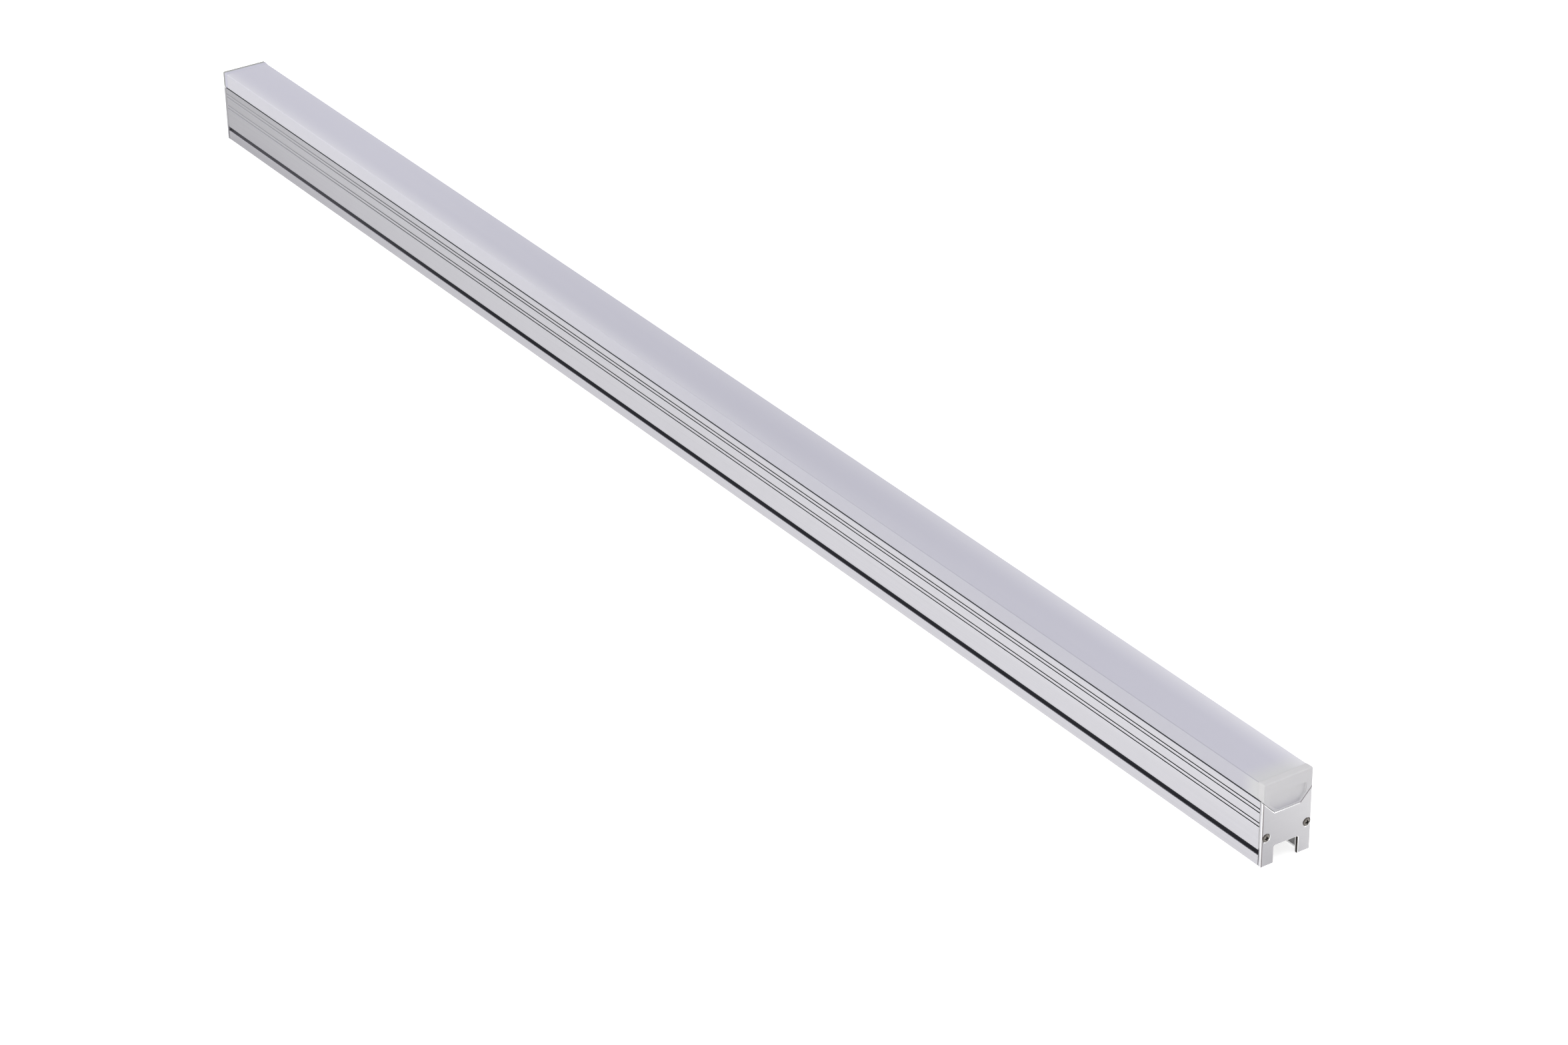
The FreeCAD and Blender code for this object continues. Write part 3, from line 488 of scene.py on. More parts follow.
def mouldedPolycarbonate():
    # injection moulded, natural white: neutral and satin, light goes in a little deeper than in the cover
    material, tree, shader = newMaterial("mouldedPolycarbonate", {
        "IOR": 1.58, "Specular IOR Level": 0.15, "Subsurface Weight": 0.2,
        "Subsurface Radius": (1.0, 1.0, 1.0), "Subsurface Scale": 1.2 * mm})
    flow = noiseOver(tree, (5, 7, 7))
    satin = noiseOver(tree, (0.5, 0.5, 0.5))
    place = axesOf(tree, "ShaderNodeTexCoord", "Object")
    near = addNode(tree, "ShaderNodeMath", {"operation": "GREATER_THAN", 1: 0.0}, {0: place["X"]})
    white = addNode(tree, "ShaderNodeMix", {
        "data_type": "RGBA", 6: linear("#D0CFD2"), 7: linear("#D6D5D7")}, {0: flow})
    rim = addNode(tree, "ShaderNodeMapRange", {
        "interpolation_type": "SMOOTHSTEP", "From Min": -496.8 * mm, "From Max": -499.0 * mm},
        {"Value": place["X"]})
    farCapShade = addNode(tree, "ShaderNodeMix", {"data_type": "RGBA", 6: linear("#CFCEDC"), 7: linear("#A3A4A1")},
                   {0: rim.outputs[0]})  # painted shade: the far cap takes the cover's violet grey and greys further at its rim
    tone = addNode(tree, "ShaderNodeMix", {"data_type": "RGBA"},
                   {0: near.outputs[0], 6: farCapShade.outputs[2], 7: white.outputs[2]})
    # painted light: the near cap's upright sides are paler
    lean = axesOf(tree, "ShaderNodeNewGeometry", "Normal")
    aside = addNode(tree, "ShaderNodeMath", {"operation": "ABSOLUTE"}, {0: lean["Y"]})
    flank = addNode(tree, "ShaderNodeMath", {"operation": "MULTIPLY"},
                    {0: aside.outputs[0], 1: near.outputs[0]})
    tone = addNode(tree, "ShaderNodeMix", {"data_type": "RGBA", 7: linear("#DCDBDC")},
                   {0: flank.outputs[0], 6: tone.outputs[2]})
    # painted shade: the foot, which stands in the plate's notch, darker towards its bottom
    low = addNode(tree, "ShaderNodeMapRange", {"From Min": 36 * mm, "From Max": 28.6 * mm},
                  {"Value": place["Z"]})
    eased = addNode(tree, "ShaderNodeMath", {"operation": "POWER", 1: 2.0}, {0: low.outputs[0]})
    shade = addNode(tree, "ShaderNodeMath", {"operation": "MULTIPLY", 1: 0.42}, {0: eased.outputs[0]})
    shaded = addNode(tree, "ShaderNodeMix", {"data_type": "RGBA", 7: linear("#A9A8B2")},
                     {0: shade.outputs[0], 6: tone.outputs[2]})
    tree.links.new(shaded.outputs[2], shader.inputs["Base Color"])
    varied(tree, shader, "Roughness", satin, 0.55, 0.65)
    raised(tree, shader, satin, 0.002)
    return material


def solderMask():
    # white mask printed on an aluminium core: satin white face over bare metal edges
    material, tree, shader = newMaterial("solderMask", {"IOR": 1.52})
    ink = noiseOver(tree, (2.5, 2.5, 2.5))
    lean = axesOf(tree, "ShaderNodeNewGeometry", "Normal")
    upward = addNode(tree, "ShaderNodeMath", {"operation": "GREATER_THAN", 1: 0.5}, {0: lean["Z"]})
    mask = addNode(tree, "ShaderNodeMix", {"data_type": "RGBA", 6: linear("#EDEEEC"), 7: linear("#F4F5F3")},
                   {0: ink})
    tone = addNode(tree, "ShaderNodeMix", {"data_type": "RGBA", 6: linear("#B4B3B0")},
                   {0: upward.outputs[0], 7: mask.outputs[2]})
    edges = addNode(tree, "ShaderNodeMath", {"operation": "SUBTRACT", 0: 1.0}, {1: upward.outputs[0]})
    tree.links.new(tone.outputs[2], shader.inputs["Base Color"])
    tree.links.new(edges.outputs[0], shader.inputs["Metallic"])
    varied(tree, shader, "Roughness", ink, 0.38, 0.46)
    return material


anodised = anodisedAluminium()
# painted shade inside the clip groove: the same metal, dull and dark grey
grooveWallShade = grained("grooveWallShadePainted", metal, (300, 0.5, 0.5), ("#7E7D83", "#8A898F"), (0.5, 0.6))
# painted shade: nearly black in the fine grooves, dark grey on the clip groove's floor and on the seam's
# ledge
fineShade = paintedGrooveShade("fineGrooveShadePainted", "#1B1B1F", "#26262B", "#A9A8AE")
grooveFloorShade = paintedGrooveShade("grooveFloorShadePainted", "#58585E", "#626268", "#B0AFB5")
seamShade = paintedGrooveShade("seamLedgeShadePainted", "#48484E", "#545459", "#545459")
# painted light: the channels' insides a near-white metal, so the shaded inside reads bright
paintedChannelLight = grained("channelLightPainted", metal, (300, 0.7, 0.7), ("#ECECEC", "#F4F4F4"), (0.38, 0.48))
# the rail's sawn ends: bright arcs of the blade across bare metal
sawn = grained("sawnAluminium", metal, (4, 12, 0.35), ("#B9B8B6", "#D2D1CF"), (0.25, 0.38), 0.01)
sheet = sheetAluminium()
# painted highlight: the near plate's cut edges nearly white, as if catching the light
paintedEdgeHighlight = grained("edgeHighlightPainted", metal, (0.5, 0.8, 0.8), ("#F2F2F2", "#FBFBFB"), (0.22, 0.3))
# painted shade: a dull brown grey on the rounding of the sheet's left edge and of the notch's right slope
paintedEdgeShade = grained("edgeShadePainted", metal, (0.6, 0.6, 2.5), ("#807A7D", "#948E91"), (0.4, 0.5))
opal = opalPolycarbonate()
capPlastic = mouldedPolycarbonate()
# turned and passivated screws: warm dark grey, crisp highlights
steel = grained("stainlessSteel", metal, (0.2, 0.9, 0.9), ("#716D69", "#8B8782"), (0.18, 0.28), 0.004)
# painted shade: nearly black steel in the screws' cross recess and on the front of the cable notch's wall
paintedRecessShade = grained("recessShadePainted", metal, (0.3, 0.3, 0.3), ("#2B2724", "#3A3531"), (0.35, 0.5))
# painted shade: a dark ring on the outer rim of each screw head
paintedRimShade = grained("rimShadePainted", metal, (0.4, 0.4, 0.4), ("#4A4542", "#6A6561"), (0.3, 0.45))
# EPDM, moulded: nearly black, dull, with a little bloom
rubber = grained("grommetRubber", {"IOR": 1.5}, (1.5, 1.5, 1.5), ("#1F1F20", "#2C2C2D"), (0.6, 0.75), 0.01)
# reflowed tin on leads and resistor ends: bright grey, softly wavy
tin = grained("tinnedMetal", metal, (0.6, 0.6, 0.6), ("#C4C3BF", "#D6D5D1"), (0.2, 0.34), 0.01)
# black moulding compound: fine matt grain
moulding = grained("chipEpoxy", {"IOR": 1.55}, (0.25, 0.25, 0.25), ("#17171A", "#232327"),
                   (0.5, 0.65), 0.004)
print("finishes ready")


# the rail

rail = {
    "end": 497.5,
    "side": 14.25,  # half the width
    "wall": 12.95,  # inner face of the side walls
    "top": 34.4,
    "groove": (5.8, 8.3, 8.9),  # heights of the clip groove's floor, its mouth and the hook above
    "grooveWalls": (13.15, 11.55),  # Y behind the lip of its mouth, and at its back
    "fineGrooves": (30.27, 28.29, 22.79, 20.81),  # heights of the pairs
    "fineWidth": 0.8,
    "fineDepth": 0.55,
    "soleRadius": 0.3,
    "lipRadius": 0.2,
    "seamRadius": 0.25,
    "clipLipOver": 0.4,  # soft upper lip of the clip groove
    "clipLipUnder": 0.42,
    "fineLip": 0.1,
    "port": (11.9, 15.25),  # screw port, Y and Z
    "portRadius": 1.05,
    "inlet": 460.0,
    "inletRadius": 4.55,
}


def makeRail(values):
    side, wall, top, halfWidth = values["side"], values["wall"], values["top"], values["fineWidth"] / 2
    floor, mouth, hook = values["groove"]
    lipBack, grooveBack = values["grooveWalls"]
    grooves = []
    for height in values["fineGrooves"]:
        grooves += [(side, height + halfWidth), (side - values["fineDepth"], height),
                    (side, height - halfWidth)]
    half = [
        (wall, 22.8), (wall, 24.75), (11.95, 24.75), (11.95, 25.65), (wall, 26.65), (wall, 30.9),
        (12.45, 30.9), (12.45, 31.7), (wall, 32.2), (wall, top), (side, top), *grooves,
        (side, mouth), (lipBack, mouth), (lipBack, hook), (grooveBack, hook), (grooveBack, floor),
        (side, floor), (side, 0), (9.25, 0), (9.25, 1.3), (wall, 1.3), (wall, 4.5), (10.25, 4.5),
        (10.25, 10.2), (wall, 10.2), (wall, 13.1), (10.75, 13.1), (9.75, 14.1), (9.75, 16.4),
        (10.75, 17.4), (wall, 17.4), (wall, 20.8)]
    bm = prism(mirrored(half), -values["end"], values["end"])
    lips = [(side, height + shift) for height in values["fineGrooves"] for shift in (halfWidth, -halfWidth)]
    rounded(bm, values["soleRadius"], 4, alongX((side, 0), (9.25, 0)))
    rounded(bm, values["clipLipOver"], 6, alongX((side, mouth)))
    rounded(bm, values["clipLipUnder"], 5, alongX((side, floor)))
    rounded(bm, values["seamRadius"], 3, alongX((side, top)))
    rounded(bm, values["lipRadius"], 3, alongX((9.25, 1.3)))
    rounded(bm, 0.1, 2, alongX((wall, top), (11.95, 24.75), (12.45, 30.9), (10.25, 4.5), (10.25, 10.2)))
    rounded(bm, values["fineLip"], 1, alongX(*lips))
    across, up = values["port"]
    tools = []
    for flip in (1, -1):
        tools.append(lathe([(0, -500), (values["portRadius"], -500), (values["portRadius"], 500),
                            (0, 500)], (0, across * flip, up), "X", 24))
        tools.append(block((-500, min(9.5 * flip, across * flip), up - 0.5),
                           (500, max(9.5 * flip, across * flip), up + 0.5)))
        tools.append(lathe([(0, 19), (values["inletRadius"], 19), (values["inletRadius"], 24),
                            (0, 24)], (values["inlet"] * flip, 0, 0), "Z", 48))
    bm = carved(bm, tools)
    # painted light inside the channels; painted shade in the clip groove, on its floor and lower lip,
    # on the seam's ledge and in the fine grooves; the sawn finish on the ends
    painted(bm, 5, lambda at, normal: abs(at.y) < wall + 0.02
            and not (abs(at.y) > 10.9 and floor - 0.1 < at.z < hook + 0.1))
    painted(bm, 1, lambda at, normal: grooveBack - 0.05 < abs(at.y) < 13.9
            and floor - 0.05 < at.z < hook + 0.05)
    painted(bm, 4, lambda at, normal: abs(at.y) > grooveBack - 0.05 and normal.z > 0.45
            and floor - 0.5 < at.z < floor + 0.05)
    painted(bm, 6, lambda at, normal: abs(at.y) > wall - 0.05 and normal.z > 0.1 and at.z > top - 0.4)
    painted(bm, 3, lambda at, normal: side - 0.42 < abs(at.y) < side - 0.08
            and any(abs(at.z - height) < halfWidth for height in values["fineGrooves"]))
    painted(bm, 2, lambda at, normal: abs(normal.x) > 0.9)
    finishPiece(bm, "rail", [anodised, grooveWallShade, sawn, fineShade, grooveFloorShade, paintedChannelLight, seamShade],
                "housing_profile")


makeRail(rail)


# the cover

cover = {
    "end": 495.49,
    "side": 14.0,
    "top": 43.8,
    "outerRadius": 0.4,
    "innerRadius": 0.6,
}


def makeCover(values):
    side, top = values["side"], values["top"]
    half = [
        (12, 41.8), (12, 37.1), (11.15, 35.9), (11.15, 29.4), (12.35, 29.4), (12.85, 30.1), (12.85, 30.8),
        (12.35, 30.8), (12.35, 34.7), (side, 34.7), (side, top)]
    bm = prism(mirrored(half), -values["end"], values["end"])
    rounded(bm, values["outerRadius"], 8, alongX((side, top)))
    rounded(bm, values["innerRadius"], 4, alongX((12, 41.8)))
    rounded(bm, 0.15, 2, alongX((side, 34.7), (12.85, 30.8), (12.85, 30.1), (11.15, 29.4), (12.35, 29.4)))
    finishPiece(bm, "cover", [opal], "diffuser_cover")


makeCover(cover)


# end caps

cap = {
    "back": 495.5,
    "tongueBack": 497.5,
    "face": 500.0,
    "side": 14.25,
    "top": 44.2,
    "shoulder": 35.4,  # foot of the upright sides
    "seat": 34.5,  # lower edge of the block behind the tongue
    "topRadius": 0.8,
    "faceRadius": 0.9,
    "rampEnd": 497.2,
    "pocketDepth": 0.9,
    "pocketCorner": 1.0,
    "pocketFloor": 0.5,
    "spigotBack": 483.5,
    "spigotWall": 1.6,
    "spigot": (11.0, 22.95, 41.65),  # half width, foot and top
}


def makeCap(values, end):
    side, top, shoulder, seat = values["side"], values["top"], values["shoulder"], values["seat"]
    outline = mirrored([(side, top), (side, shoulder), (13.8, seat), (13.8, 34.14), (7.5, 27.7)])
    bm = prism(outline, values["back"], values["face"])
    rounded(bm, values["topRadius"], 6, alongX((side, top)))
    bmesh.ops.bisect_plane(bm, geom=bm.verts[:] + bm.edges[:] + bm.faces[:],
                           plane_co=(values["rampEnd"], 0, 0), plane_no=(1, 0, 0))
    for vert in bm.verts:  # the cap starts flush with the cover and swells to its full size
        if vert.co.x < values["back"] + 0.01 and vert.co.z > seat + 0.1:
            vert.co.y = math.copysign(min(abs(vert.co.y), cover["side"]), vert.co.y)
            vert.co.z = min(vert.co.z, cover["top"])
    rounded(bm, values["faceRadius"], 5,
            lambda a, b: atX(values["face"])(a, b) and min(a.z, b.z) > shoulder - 0.01)
    under = block((values["back"] - 1, -15, 20), (values["tongueBack"], 15, seat))
    pocket = prism(mirrored([(10.9, 37.4), (10.9, 32.6), (6.9, 28.6)]),
                   values["face"] - values["pocketDepth"], values["face"] + 2)
    rounded(pocket, values["pocketCorner"], 5, lambda a, b: abs(a.x - b.x) > 0.5)
    rounded(pocket, values["pocketFloor"], 5, atX(values["face"] - values["pocketDepth"]))
    bm = carved(bm, [under, pocket])
    # the spigot ends inside the block above, and 1 mm short of the tongue below
    back, wall = values["spigotBack"], values["spigotWall"]
    across, low, high = values["spigot"]
    spigot = block((back, -across, low), (values["tongueBack"] - 1.0, across, high))
    rounded(spigot, 0.5, 3, lambda a, b: abs(a.x - b.x) > 0.5)
    cavity = block((back - 1, wall - across, low + wall), (values["back"], across - wall, high - wall))
    bm = carved(bm, [spigot], "UNION")
    bm = carved(bm, [cavity])
    finishPiece(bm, f"cap_{end}", [capPlastic], f"end_cap_{end}", end)


for end in ends:
    makeCap(cap, end)


# end plates

plate = {
    "back": 498.0,
    "face": 500.0,
    "side": 14.25,
    "cableNotch": (7.1, 9.3),  # half width and height
    "edgeRadius": 0.35,
    "notchRadius": 0.8,
    "screws": (11.9, 15.25),
    "holeRadius": 1.25,
    "sinkRadius": 2.4,
    "notchShadeDepth": 498.5,  # painted shade on the cable notch's wall in front of this, the edge colour behind
    "brightDepth": 498.9,  # the long edges take the edge colour in front of this, a painted highlight at the near end, and anodised behind
}


def makePlate(values, end):
    side, (notch, notchTop) = values["side"], values["cableNotch"]
    outline = mirrored([(7.5, 27.4), (side, 34.3), (side, 0), (notch, 0), (notch, notchTop)])
    bm = prism(outline, values["back"], values["face"])
    rounded(bm, values["notchRadius"], 4, alongX((notch, notchTop)))
    rounded(bm, values["edgeRadius"], 3, atX(values["face"]))
    across, up = values["screws"]
    sink, hole = values["sinkRadius"], values["holeRadius"]
    tools = [lathe([(0, 497), (hole, 497), (hole, values["face"] - sink + hole), (sink, values["face"]),
                    (sink, 501), (0, 501)], (0, across * flip, up), "X", 40) for flip in (1, -1)]
    bm = carved(bm, tools)
    notchShadeEnd, bright = values["notchShadeDepth"], values["brightDepth"]

    def notchWall(at, normal):
        return abs(normal.x) < 0.35 and abs(at.y) < notch + 0.1

    def longEdge(at, normal):
        return abs(normal.y) > 0.9 and abs(at.y) > side - 0.05

    for chosen, place in ((notchWall, notchShadeEnd), (longEdge, bright)):
        faces = [face for face in bm.faces if chosen(face.calc_center_median(), face.normal)]
        parts = list({part for face in faces for part in [face, *face.edges, *face.verts]})
        bmesh.ops.bisect_plane(bm, geom=parts, plane_co=(place, 0, 0), plane_no=(1, 0, 0))
    # the edge colour on all edges, a painted highlight at the near end; anodised on the back of the long
    # ones; painted shade on the front of the cable notch's wall, on the rounding at the left edge and on
    # the right slope
    painted(bm, 1, lambda at, normal: abs(normal.x) < 0.99)
    painted(bm, 4, lambda at, normal: abs(at.y) > side - 0.05 and at.x < bright and abs(normal.x) < 0.9)
    painted(bm, 2, lambda at, normal: notchWall(at, normal) and at.z < notchTop + 0.1 and at.x > notchShadeEnd)
    painted(bm, 3, lambda at, normal: 0.05 < abs(normal.x) < 0.99 and (at.y < -13.8 and at.z < 34
            or at.y > 7.4 and at.z > 27.5))
    edge = paintedEdgeHighlight if end == "near" else anodised
    finishPiece(bm, f"plate_{end}", [sheet, edge, paintedRecessShade, paintedEdgeShade, anodised], f"end_plate_{end}",
                end)


for end in ends:
    makePlate(plate, end)


# plate screws

screw = {
    "axis": (11.9, 15.25),
    "domeTop": 500.55,
    "headRadius": 2.1,
    "shankRadius": 1.0,
    "tip": 489.0,
    "threadPitch": 0.5,
    "threadDepth": 0.18,
    "recessSpan": 3.0,
    "recessArm": 0.85,
    "recessDepth": 1.0,
}


def makeScrews(values, end):
    dome, head, shank = values["domeTop"], values["headRadius"], values["shankRadius"]
    face = plate["face"]
    profile = [(0, dome), (head * 0.45, dome - 0.09), (head * 0.8, dome - 0.31),
               (head * 0.86, dome - 0.38), (head, face), (head, face - 0.07),
               (shank, face - head + shank - 0.07)]
    place = face - head + shank - 0.4
    while place > values["tip"] + 1.2:
        profile += [(shank, place), (shank - values["threadDepth"], place - values["threadPitch"] / 2)]
        place -= values["threadPitch"]
    profile += [(shank * 0.8, values["tip"] + 0.8), (0, values["tip"])]
    bm = lathe(profile, (0, 0, 0), "X", 40)
    arm, reach = values["recessArm"] / 2, values["recessSpan"] / 2
    bottom = dome - values["recessDepth"]
    tools = []
    for size in ((reach, arm), (arm, reach)):
        tool = block((bottom, -size[0], -size[1]), (dome + 1, size[0], size[1]))
        inner = [v for v in tool.verts if v.co.x < bottom + 0.01]
        bmesh.ops.scale(tool, verts=inner, vec=(1, 0.62, 0.62))  # the recess narrows towards its foot
        tools.append(tool)
    bm = carved(bm, tools)
    # painted shade: the cross recess's walls and floor nearly black, and a dark ring on the head's outer
    # rim
    painted(bm, 1, lambda at, normal: at.x > bottom - 0.01 and math.hypot(at.y, at.z) < reach
            and normal.x < 0.7)
    painted(bm, 1, lambda at, normal: abs(at.x - bottom) < 0.02)
    painted(bm, 2, lambda at, normal: math.hypot(at.y, at.z) > head * 0.8 and at.x > face - 0.1)
    across, up = values["axis"]
    bmesh.ops.translate(bm, verts=bm.verts, vec=(0, across, up))
    repeated(bm, [(0, -2 * across, 0)])
    finishPiece(bm, f"screws_{end}", [steel, paintedRecessShade, paintedRimShade], f"plate_screws_{end}",
                end)


for end in ends:
    makeScrews(screw, end)


# cable grommets

grommet = {
    "inlet": 460.0,
    "bore": 3.0,
    "topFlange": 5.5,
    "lowFlange": 6.3,
    "neck": 4.5,
    "soft": 0.25,  # rounding of the moulded rims
    "heights": (23.6, 22.8, 20.8, 19.0, 14.8),  # top, shelf's top and foot, lower flange, foot
}


def makeGrommet(values, end):
    bore, top, low, neck = values["bore"], values["topFlange"], values["lowFlange"], values["neck"]
    soft, slight = values["soft"], values["soft"] * 0.3
    head, shelfTop, shelfFoot, flangeFoot, foot = values["heights"]
    profile = [
        (bore, head - soft), (bore + slight, head - slight), (bore + soft, head),
        (top - soft, head), (top - slight, head - slight), (top, head - soft), (top, shelfTop),
        (neck, shelfTop), (neck, shelfFoot), (low, shelfFoot), (low, flangeFoot + soft),
        (low - slight, flangeFoot - slight), (low - soft, flangeFoot - soft), (neck + soft, foot + soft),
        (neck - slight, foot + slight), (neck - soft, foot), (bore + soft, foot),
        (bore, foot + soft), (bore, head - soft)]
    bm = lathe(profile, (values["inlet"], 0, 0), "Z", 48)
    finishPiece(bm, f"grommet_{end}", [rubber], f"cable_grommet_{end}", end)


for end in ends:
    makeGrommet(grommet, end)


# seals, gaskets, tape and boards keep their CAD shapes

# dark grey silicone in the seam: soft, dull, takes dust
silicone = grained("sealSilicone", {"IOR": 1.41}, (6, 0.8, 0.8), ("#232328", "#303036"), (0.5, 0.65))
# translucent silicone sheet, die cut: milky, soft edges
gasket = grained("gasketSilicone", {
    "IOR": 1.41, "Subsurface Weight": 0.5, "Subsurface Radius": (1.0, 1.0, 1.0),
    "Subsurface Scale": 2.0 * mm}, (1.2, 1.2, 1.2), ("#C9C8C6", "#D4D3D1"), (0.45, 0.6))
# filled acrylic foam tape: pale grey, slightly granular
tape = grained("thermalTape", {"IOR": 1.45}, (0.7, 0.7, 0.7), ("#BFC0BE", "#CDCECC"), (0.65, 0.8), 0.01)
board = solderMask()
for side in ("left", "right"):
    dress(f"cover_seal_{side}", silicone)
for end in ends:
    dress(f"end_gasket_{end}", gasket)
    dress(f"thermal_tape_{end}", tape)
    dress(f"led_board_{end}", board)


# LED packages, chips and resistors

boardParts = {
    "top": 24.6,
    "pitch": 20.0,
    "ledStart": 470.0,
    "ledCount": 24,
    "ledSize": 5.0,
    "ledHeight": 1.6,
    "window": 2.0,
    "windowDepth": 0.5,
    "rowSide": 7.2,
    "chipPitch": 80.0,
    "chipCount": 6,
    "chipStart": 410.0,
    "resistorCount": 21,
}


def makePackages(values, end):
    half, foot, window = values["ledSize"] / 2, values["top"], values["window"]
    top = foot + values["ledHeight"]
    floor = top - values["windowDepth"]
    bm = block((-half, -half, foot), (half, half, top))
    rounded(bm, 0.5, 1, lambda a, b: abs(a.z - b.z) > 0.5 and a.x > 0 and a.y > 0)  # polarity corner
    rounded(bm, 0.15, 1, lambda a, b: abs(a.z - top) < 0.01 and abs(b.z - top) < 0.01)
    dish = lathe([(0, floor), (window * 0.86, floor), (window, top), (window, top + 1), (0, top + 1)],
                 (0, 0, 0), "Z", 20)
    bm = carved(bm, [dish])
    painted(bm, 1, lambda at, normal: abs(at.z - floor) < 0.01 and normal.z > 0.9)
    pads = [block((side * half - 0.35, -1.9, foot), (side * half + 0.35, 1.9, foot + 0.12))
            for side in (-1, 1)]
    for pad in pads:
        painted(pad, 2, lambda at, normal: True)
    bm = joined(bm, *pads)
    bmesh.ops.translate(bm, verts=bm.verts, vec=(values["ledStart"], 0, 0))
    repeated(bm, [(-values["pitch"] * i, 0, 0) for i in range(1, values["ledCount"])])
    finishPiece(bm, f"leds_{end}", [ledPlastic, phosphor, tin], f"led_packages_{end}", end)


def makeChips(values, end):
    top = values["top"]
    bm = block((-2.45, -1.95, top + 0.12), (2.45, 1.95, top + 1.5))
    rounded(bm, 0.2, 1, lambda a, b: True)
    dot = lathe([(0, top + 1.4), (0.35, top + 1.4), (0.35, top + 2), (0, top + 2)],
                (-1.7, -1.2, 0), "Z", 12)
    bm = carved(bm, [dot])
    lead = [(1.85, 0.72), (2.2, 0.72), (2.42, 0.0), (3.0, 0.0), (3.0, 0.2), (2.56, 0.2), (2.34, 0.92),
            (1.85, 0.92)]
    for place in (-1.905, -0.635, 0.635, 1.905):
        for side in (1, -1):
            pin = prism([(across * side, top + up) for across, up in lead], place - 0.2, place + 0.2)
            painted(pin, 1, lambda at, normal: True)
            bm = joined(bm, pin)
    bmesh.ops.translate(bm, verts=bm.verts, vec=(values["chipStart"], values["rowSide"], 0))
    repeated(bm, [(-values["chipPitch"] * i, 0, 0) for i in range(1, values["chipCount"])])
    finishPiece(bm, f"chips_{end}", [moulding, tin], f"driver_chips_{end}", end)


def makeResistors(values, end):
    top = values["top"]
    bm = block((-1.6, -0.8, top), (1.6, 0.8, top + 0.6))
    for place in (-1.15, 1.15):
        bmesh.ops.bisect_plane(bm, geom=bm.verts[:] + bm.edges[:] + bm.faces[:], plane_co=(place, 0, 0),
                               plane_no=(1, 0, 0))
    rounded(bm, 0.06, 1, lambda a, b: abs(a.y - b.y) > 1 and abs(a.x) > 1.5 and a.z > top + 0.5)
    painted(bm, 1, lambda at, normal: abs(at.x) > 1.15)
    body = [v for v in bm.verts if abs(v.co.x) < 1.2 and v.co.z > top + 0.5]
    bmesh.ops.translate(bm, verts=body, vec=(0, 0, -0.04))  # the ends stand a little proud of the body
    bmesh.ops.translate(bm, verts=bm.verts, vec=(values["chipStart"], -values["rowSide"], 0))
    repeated(bm, [(-values["pitch"] * i, 0, 0) for i in range(1, values["resistorCount"])])
    finishPiece(bm, f"resistors_{end}", [moulding, tin], f"chip_resistors_{end}", end)


# white PPA of an LED package, glossy from the mould
ledPlastic = grained("packagePlastic", {"IOR": 1.55}, (1.0, 1.0, 1.0), ("#EFEDE6", "#F6F5F0"), (0.28, 0.36))
# phosphor in clear silicone: warm yellow, slightly granular, wet looking
phosphor = grained("phosphorGel", {"IOR": 1.41, "Coat Weight": 0.6, "Coat Roughness": 0.08},
                   (0.3, 0.3, 0.3), ("#E3B23C", "#F0C653"), (0.35, 0.5))
for end in ends:
    makePackages(boardParts, end)
    makeChips(boardParts, end)
    makeResistors(boardParts, end)


# capacitor, wire terminal and the link between the boards

inlet = {
    "capacitor": (448.0, -7.2),
    "canRadius": 3.15,
    "canTop": 30.8,
    "terminalLow": (444.0, 3.5, 24.6),
    "terminalHigh": (452.0, 10.7, 28.0),
    "entryRadius": 0.6,
    "entryPitch": 1.8,
    "entryDepth": 4.0,
}


def makeCapacitor(values, end):
    across, radius, top = values["capacitor"], values["canRadius"], values["canTop"]
    base = block((-3.3, -3.3, 24.6), (3.3, 3.3, 25.4))
    rounded(base, 0.8, 1, lambda a, b: abs(a.z - b.z) > 0.5 and a.x > 0)
    painted(base, 1, lambda at, normal: True)
    can = lathe([(0, 25.4), (radius, 25.4), (radius, 26.2), (radius - 0.25, 26.5), (radius, 26.8),
                 (radius, top - 0.5), (radius - 0.15, top - 0.15), (radius - 0.5, top),
                 (radius - 0.8, top - 0.15), (0, top - 0.15)], (0, 0, 0), "Z", 40)
    painted(can, 2, lambda at, normal: at.z > top - 0.3 and at.x < -1.2)
    bm = joined(can, base)
    bmesh.ops.translate(bm, verts=bm.verts, vec=(across[0], across[1], 0))
    finishPiece(bm, f"capacitor_{end}", [canMetal, nylonBlack, moulding], f"input_capacitor_{end}",
                end)


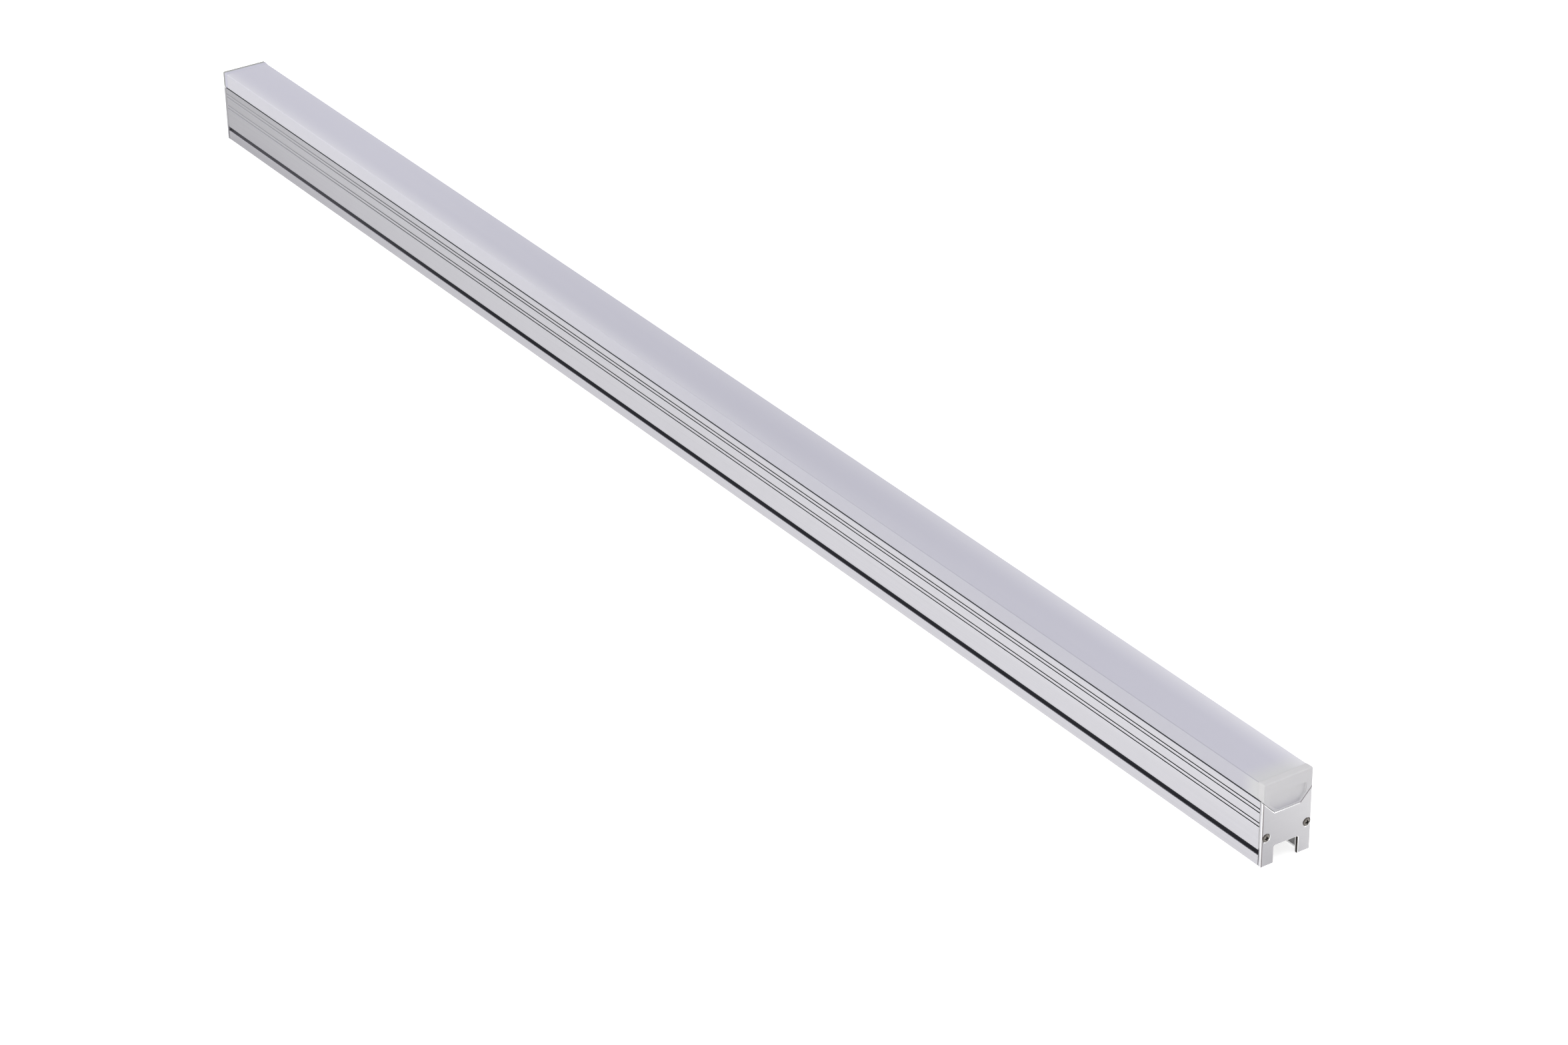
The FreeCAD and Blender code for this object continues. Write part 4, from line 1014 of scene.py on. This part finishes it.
def makeTerminal(values, end):
    low, high = values["terminalLow"], values["terminalHigh"]
    bm = block(low, high)
    rounded(bm, 0.2, 2, lambda a, b: max(a.z, b.z) > low[2] + 0.1)
    tools = []
    middle, height = (low[1] + high[1]) / 2, (low[2] + high[2]) / 2
    mouth, deep, radius = high[0], high[0] - values["entryDepth"], values["entryRadius"]
    for i in range(4):
        across = middle + (i - 1.5) * values["entryPitch"]
        tools.append(lathe([(0, deep), (radius, deep), (radius, mouth - 0.3), (radius + 0.2, mouth + 0.1),
                            (0, mouth + 0.1)], (0, across, height), "X", 16))
        tools.append(block((low[0] + 1.5, across - 0.45, high[2] - 0.5),
                           (low[0] + 4.0, across + 0.45, high[2] + 1)))
    bm = carved(bm, tools)
    finishPiece(bm, f"terminal_{end}", [nylonWhite], f"wire_terminal_{end}", end)


def makeSocket(end):
    bm = block((1.05, -4.5, 24.6), (6.05, 4.5, 27.0))
    rounded(bm, 0.2, 2, lambda a, b: max(a.z, b.z) > 25 and min(a.x, b.x) > 1.1)
    bm = carved(bm, [block((0, -3.8, 25.3), (4.55, 3.8, 26.3))])
    feet = [block((5.9, across - 0.25, 24.6), (6.05, across + 0.25, 24.9))
            for across in (-2.4, -0.8, 0.8, 2.4)]
    for foot in feet:
        painted(foot, 1, lambda at, normal: True)
    bm = joined(bm, *feet)
    finishPiece(bm, f"socket_{end}", [nylonBlack, tin], f"link_socket_{end}", end)


def makePlug():
    bm = block((-4.45, -3.7, 25.4), (4.45, 3.7, 26.2))
    rounded(bm, 0.12, 2, lambda a, b: True)
    grips = [block((place - 0.06, -3.8, 26.1), (place + 0.06, 3.8, 26.3))
             for place in (-0.6, -0.2, 0.2, 0.6)]
    bm = carved(bm, grips)
    finishPiece(bm, "plug", [nylonBlack], "link_plug")


# drawn can of a capacitor: bright, with faint draw lines up its side
canMetal = grained("canAluminium", metal, (0.3, 0.3, 9), ("#D0CFCC", "#DEDDDA"), (0.18, 0.28))
# glass-filled nylon of the wire terminal: warm white, slightly mottled
nylonWhite = grained("whiteNylon", {"IOR": 1.53}, (0.8, 0.8, 0.8), ("#E6E4DC", "#EFEEE8"), (0.45, 0.58),
                     0.006)
# black nylon of the link connector: a dull sheen
nylonBlack = grained("blackNylon", {"IOR": 1.53}, (0.8, 0.8, 0.8), ("#1C1C1E", "#29292B"), (0.4, 0.55))
for end in ends:
    makeCapacitor(inlet, end)
    makeTerminal(inlet, end)
    makeSocket(end)
makePlug()
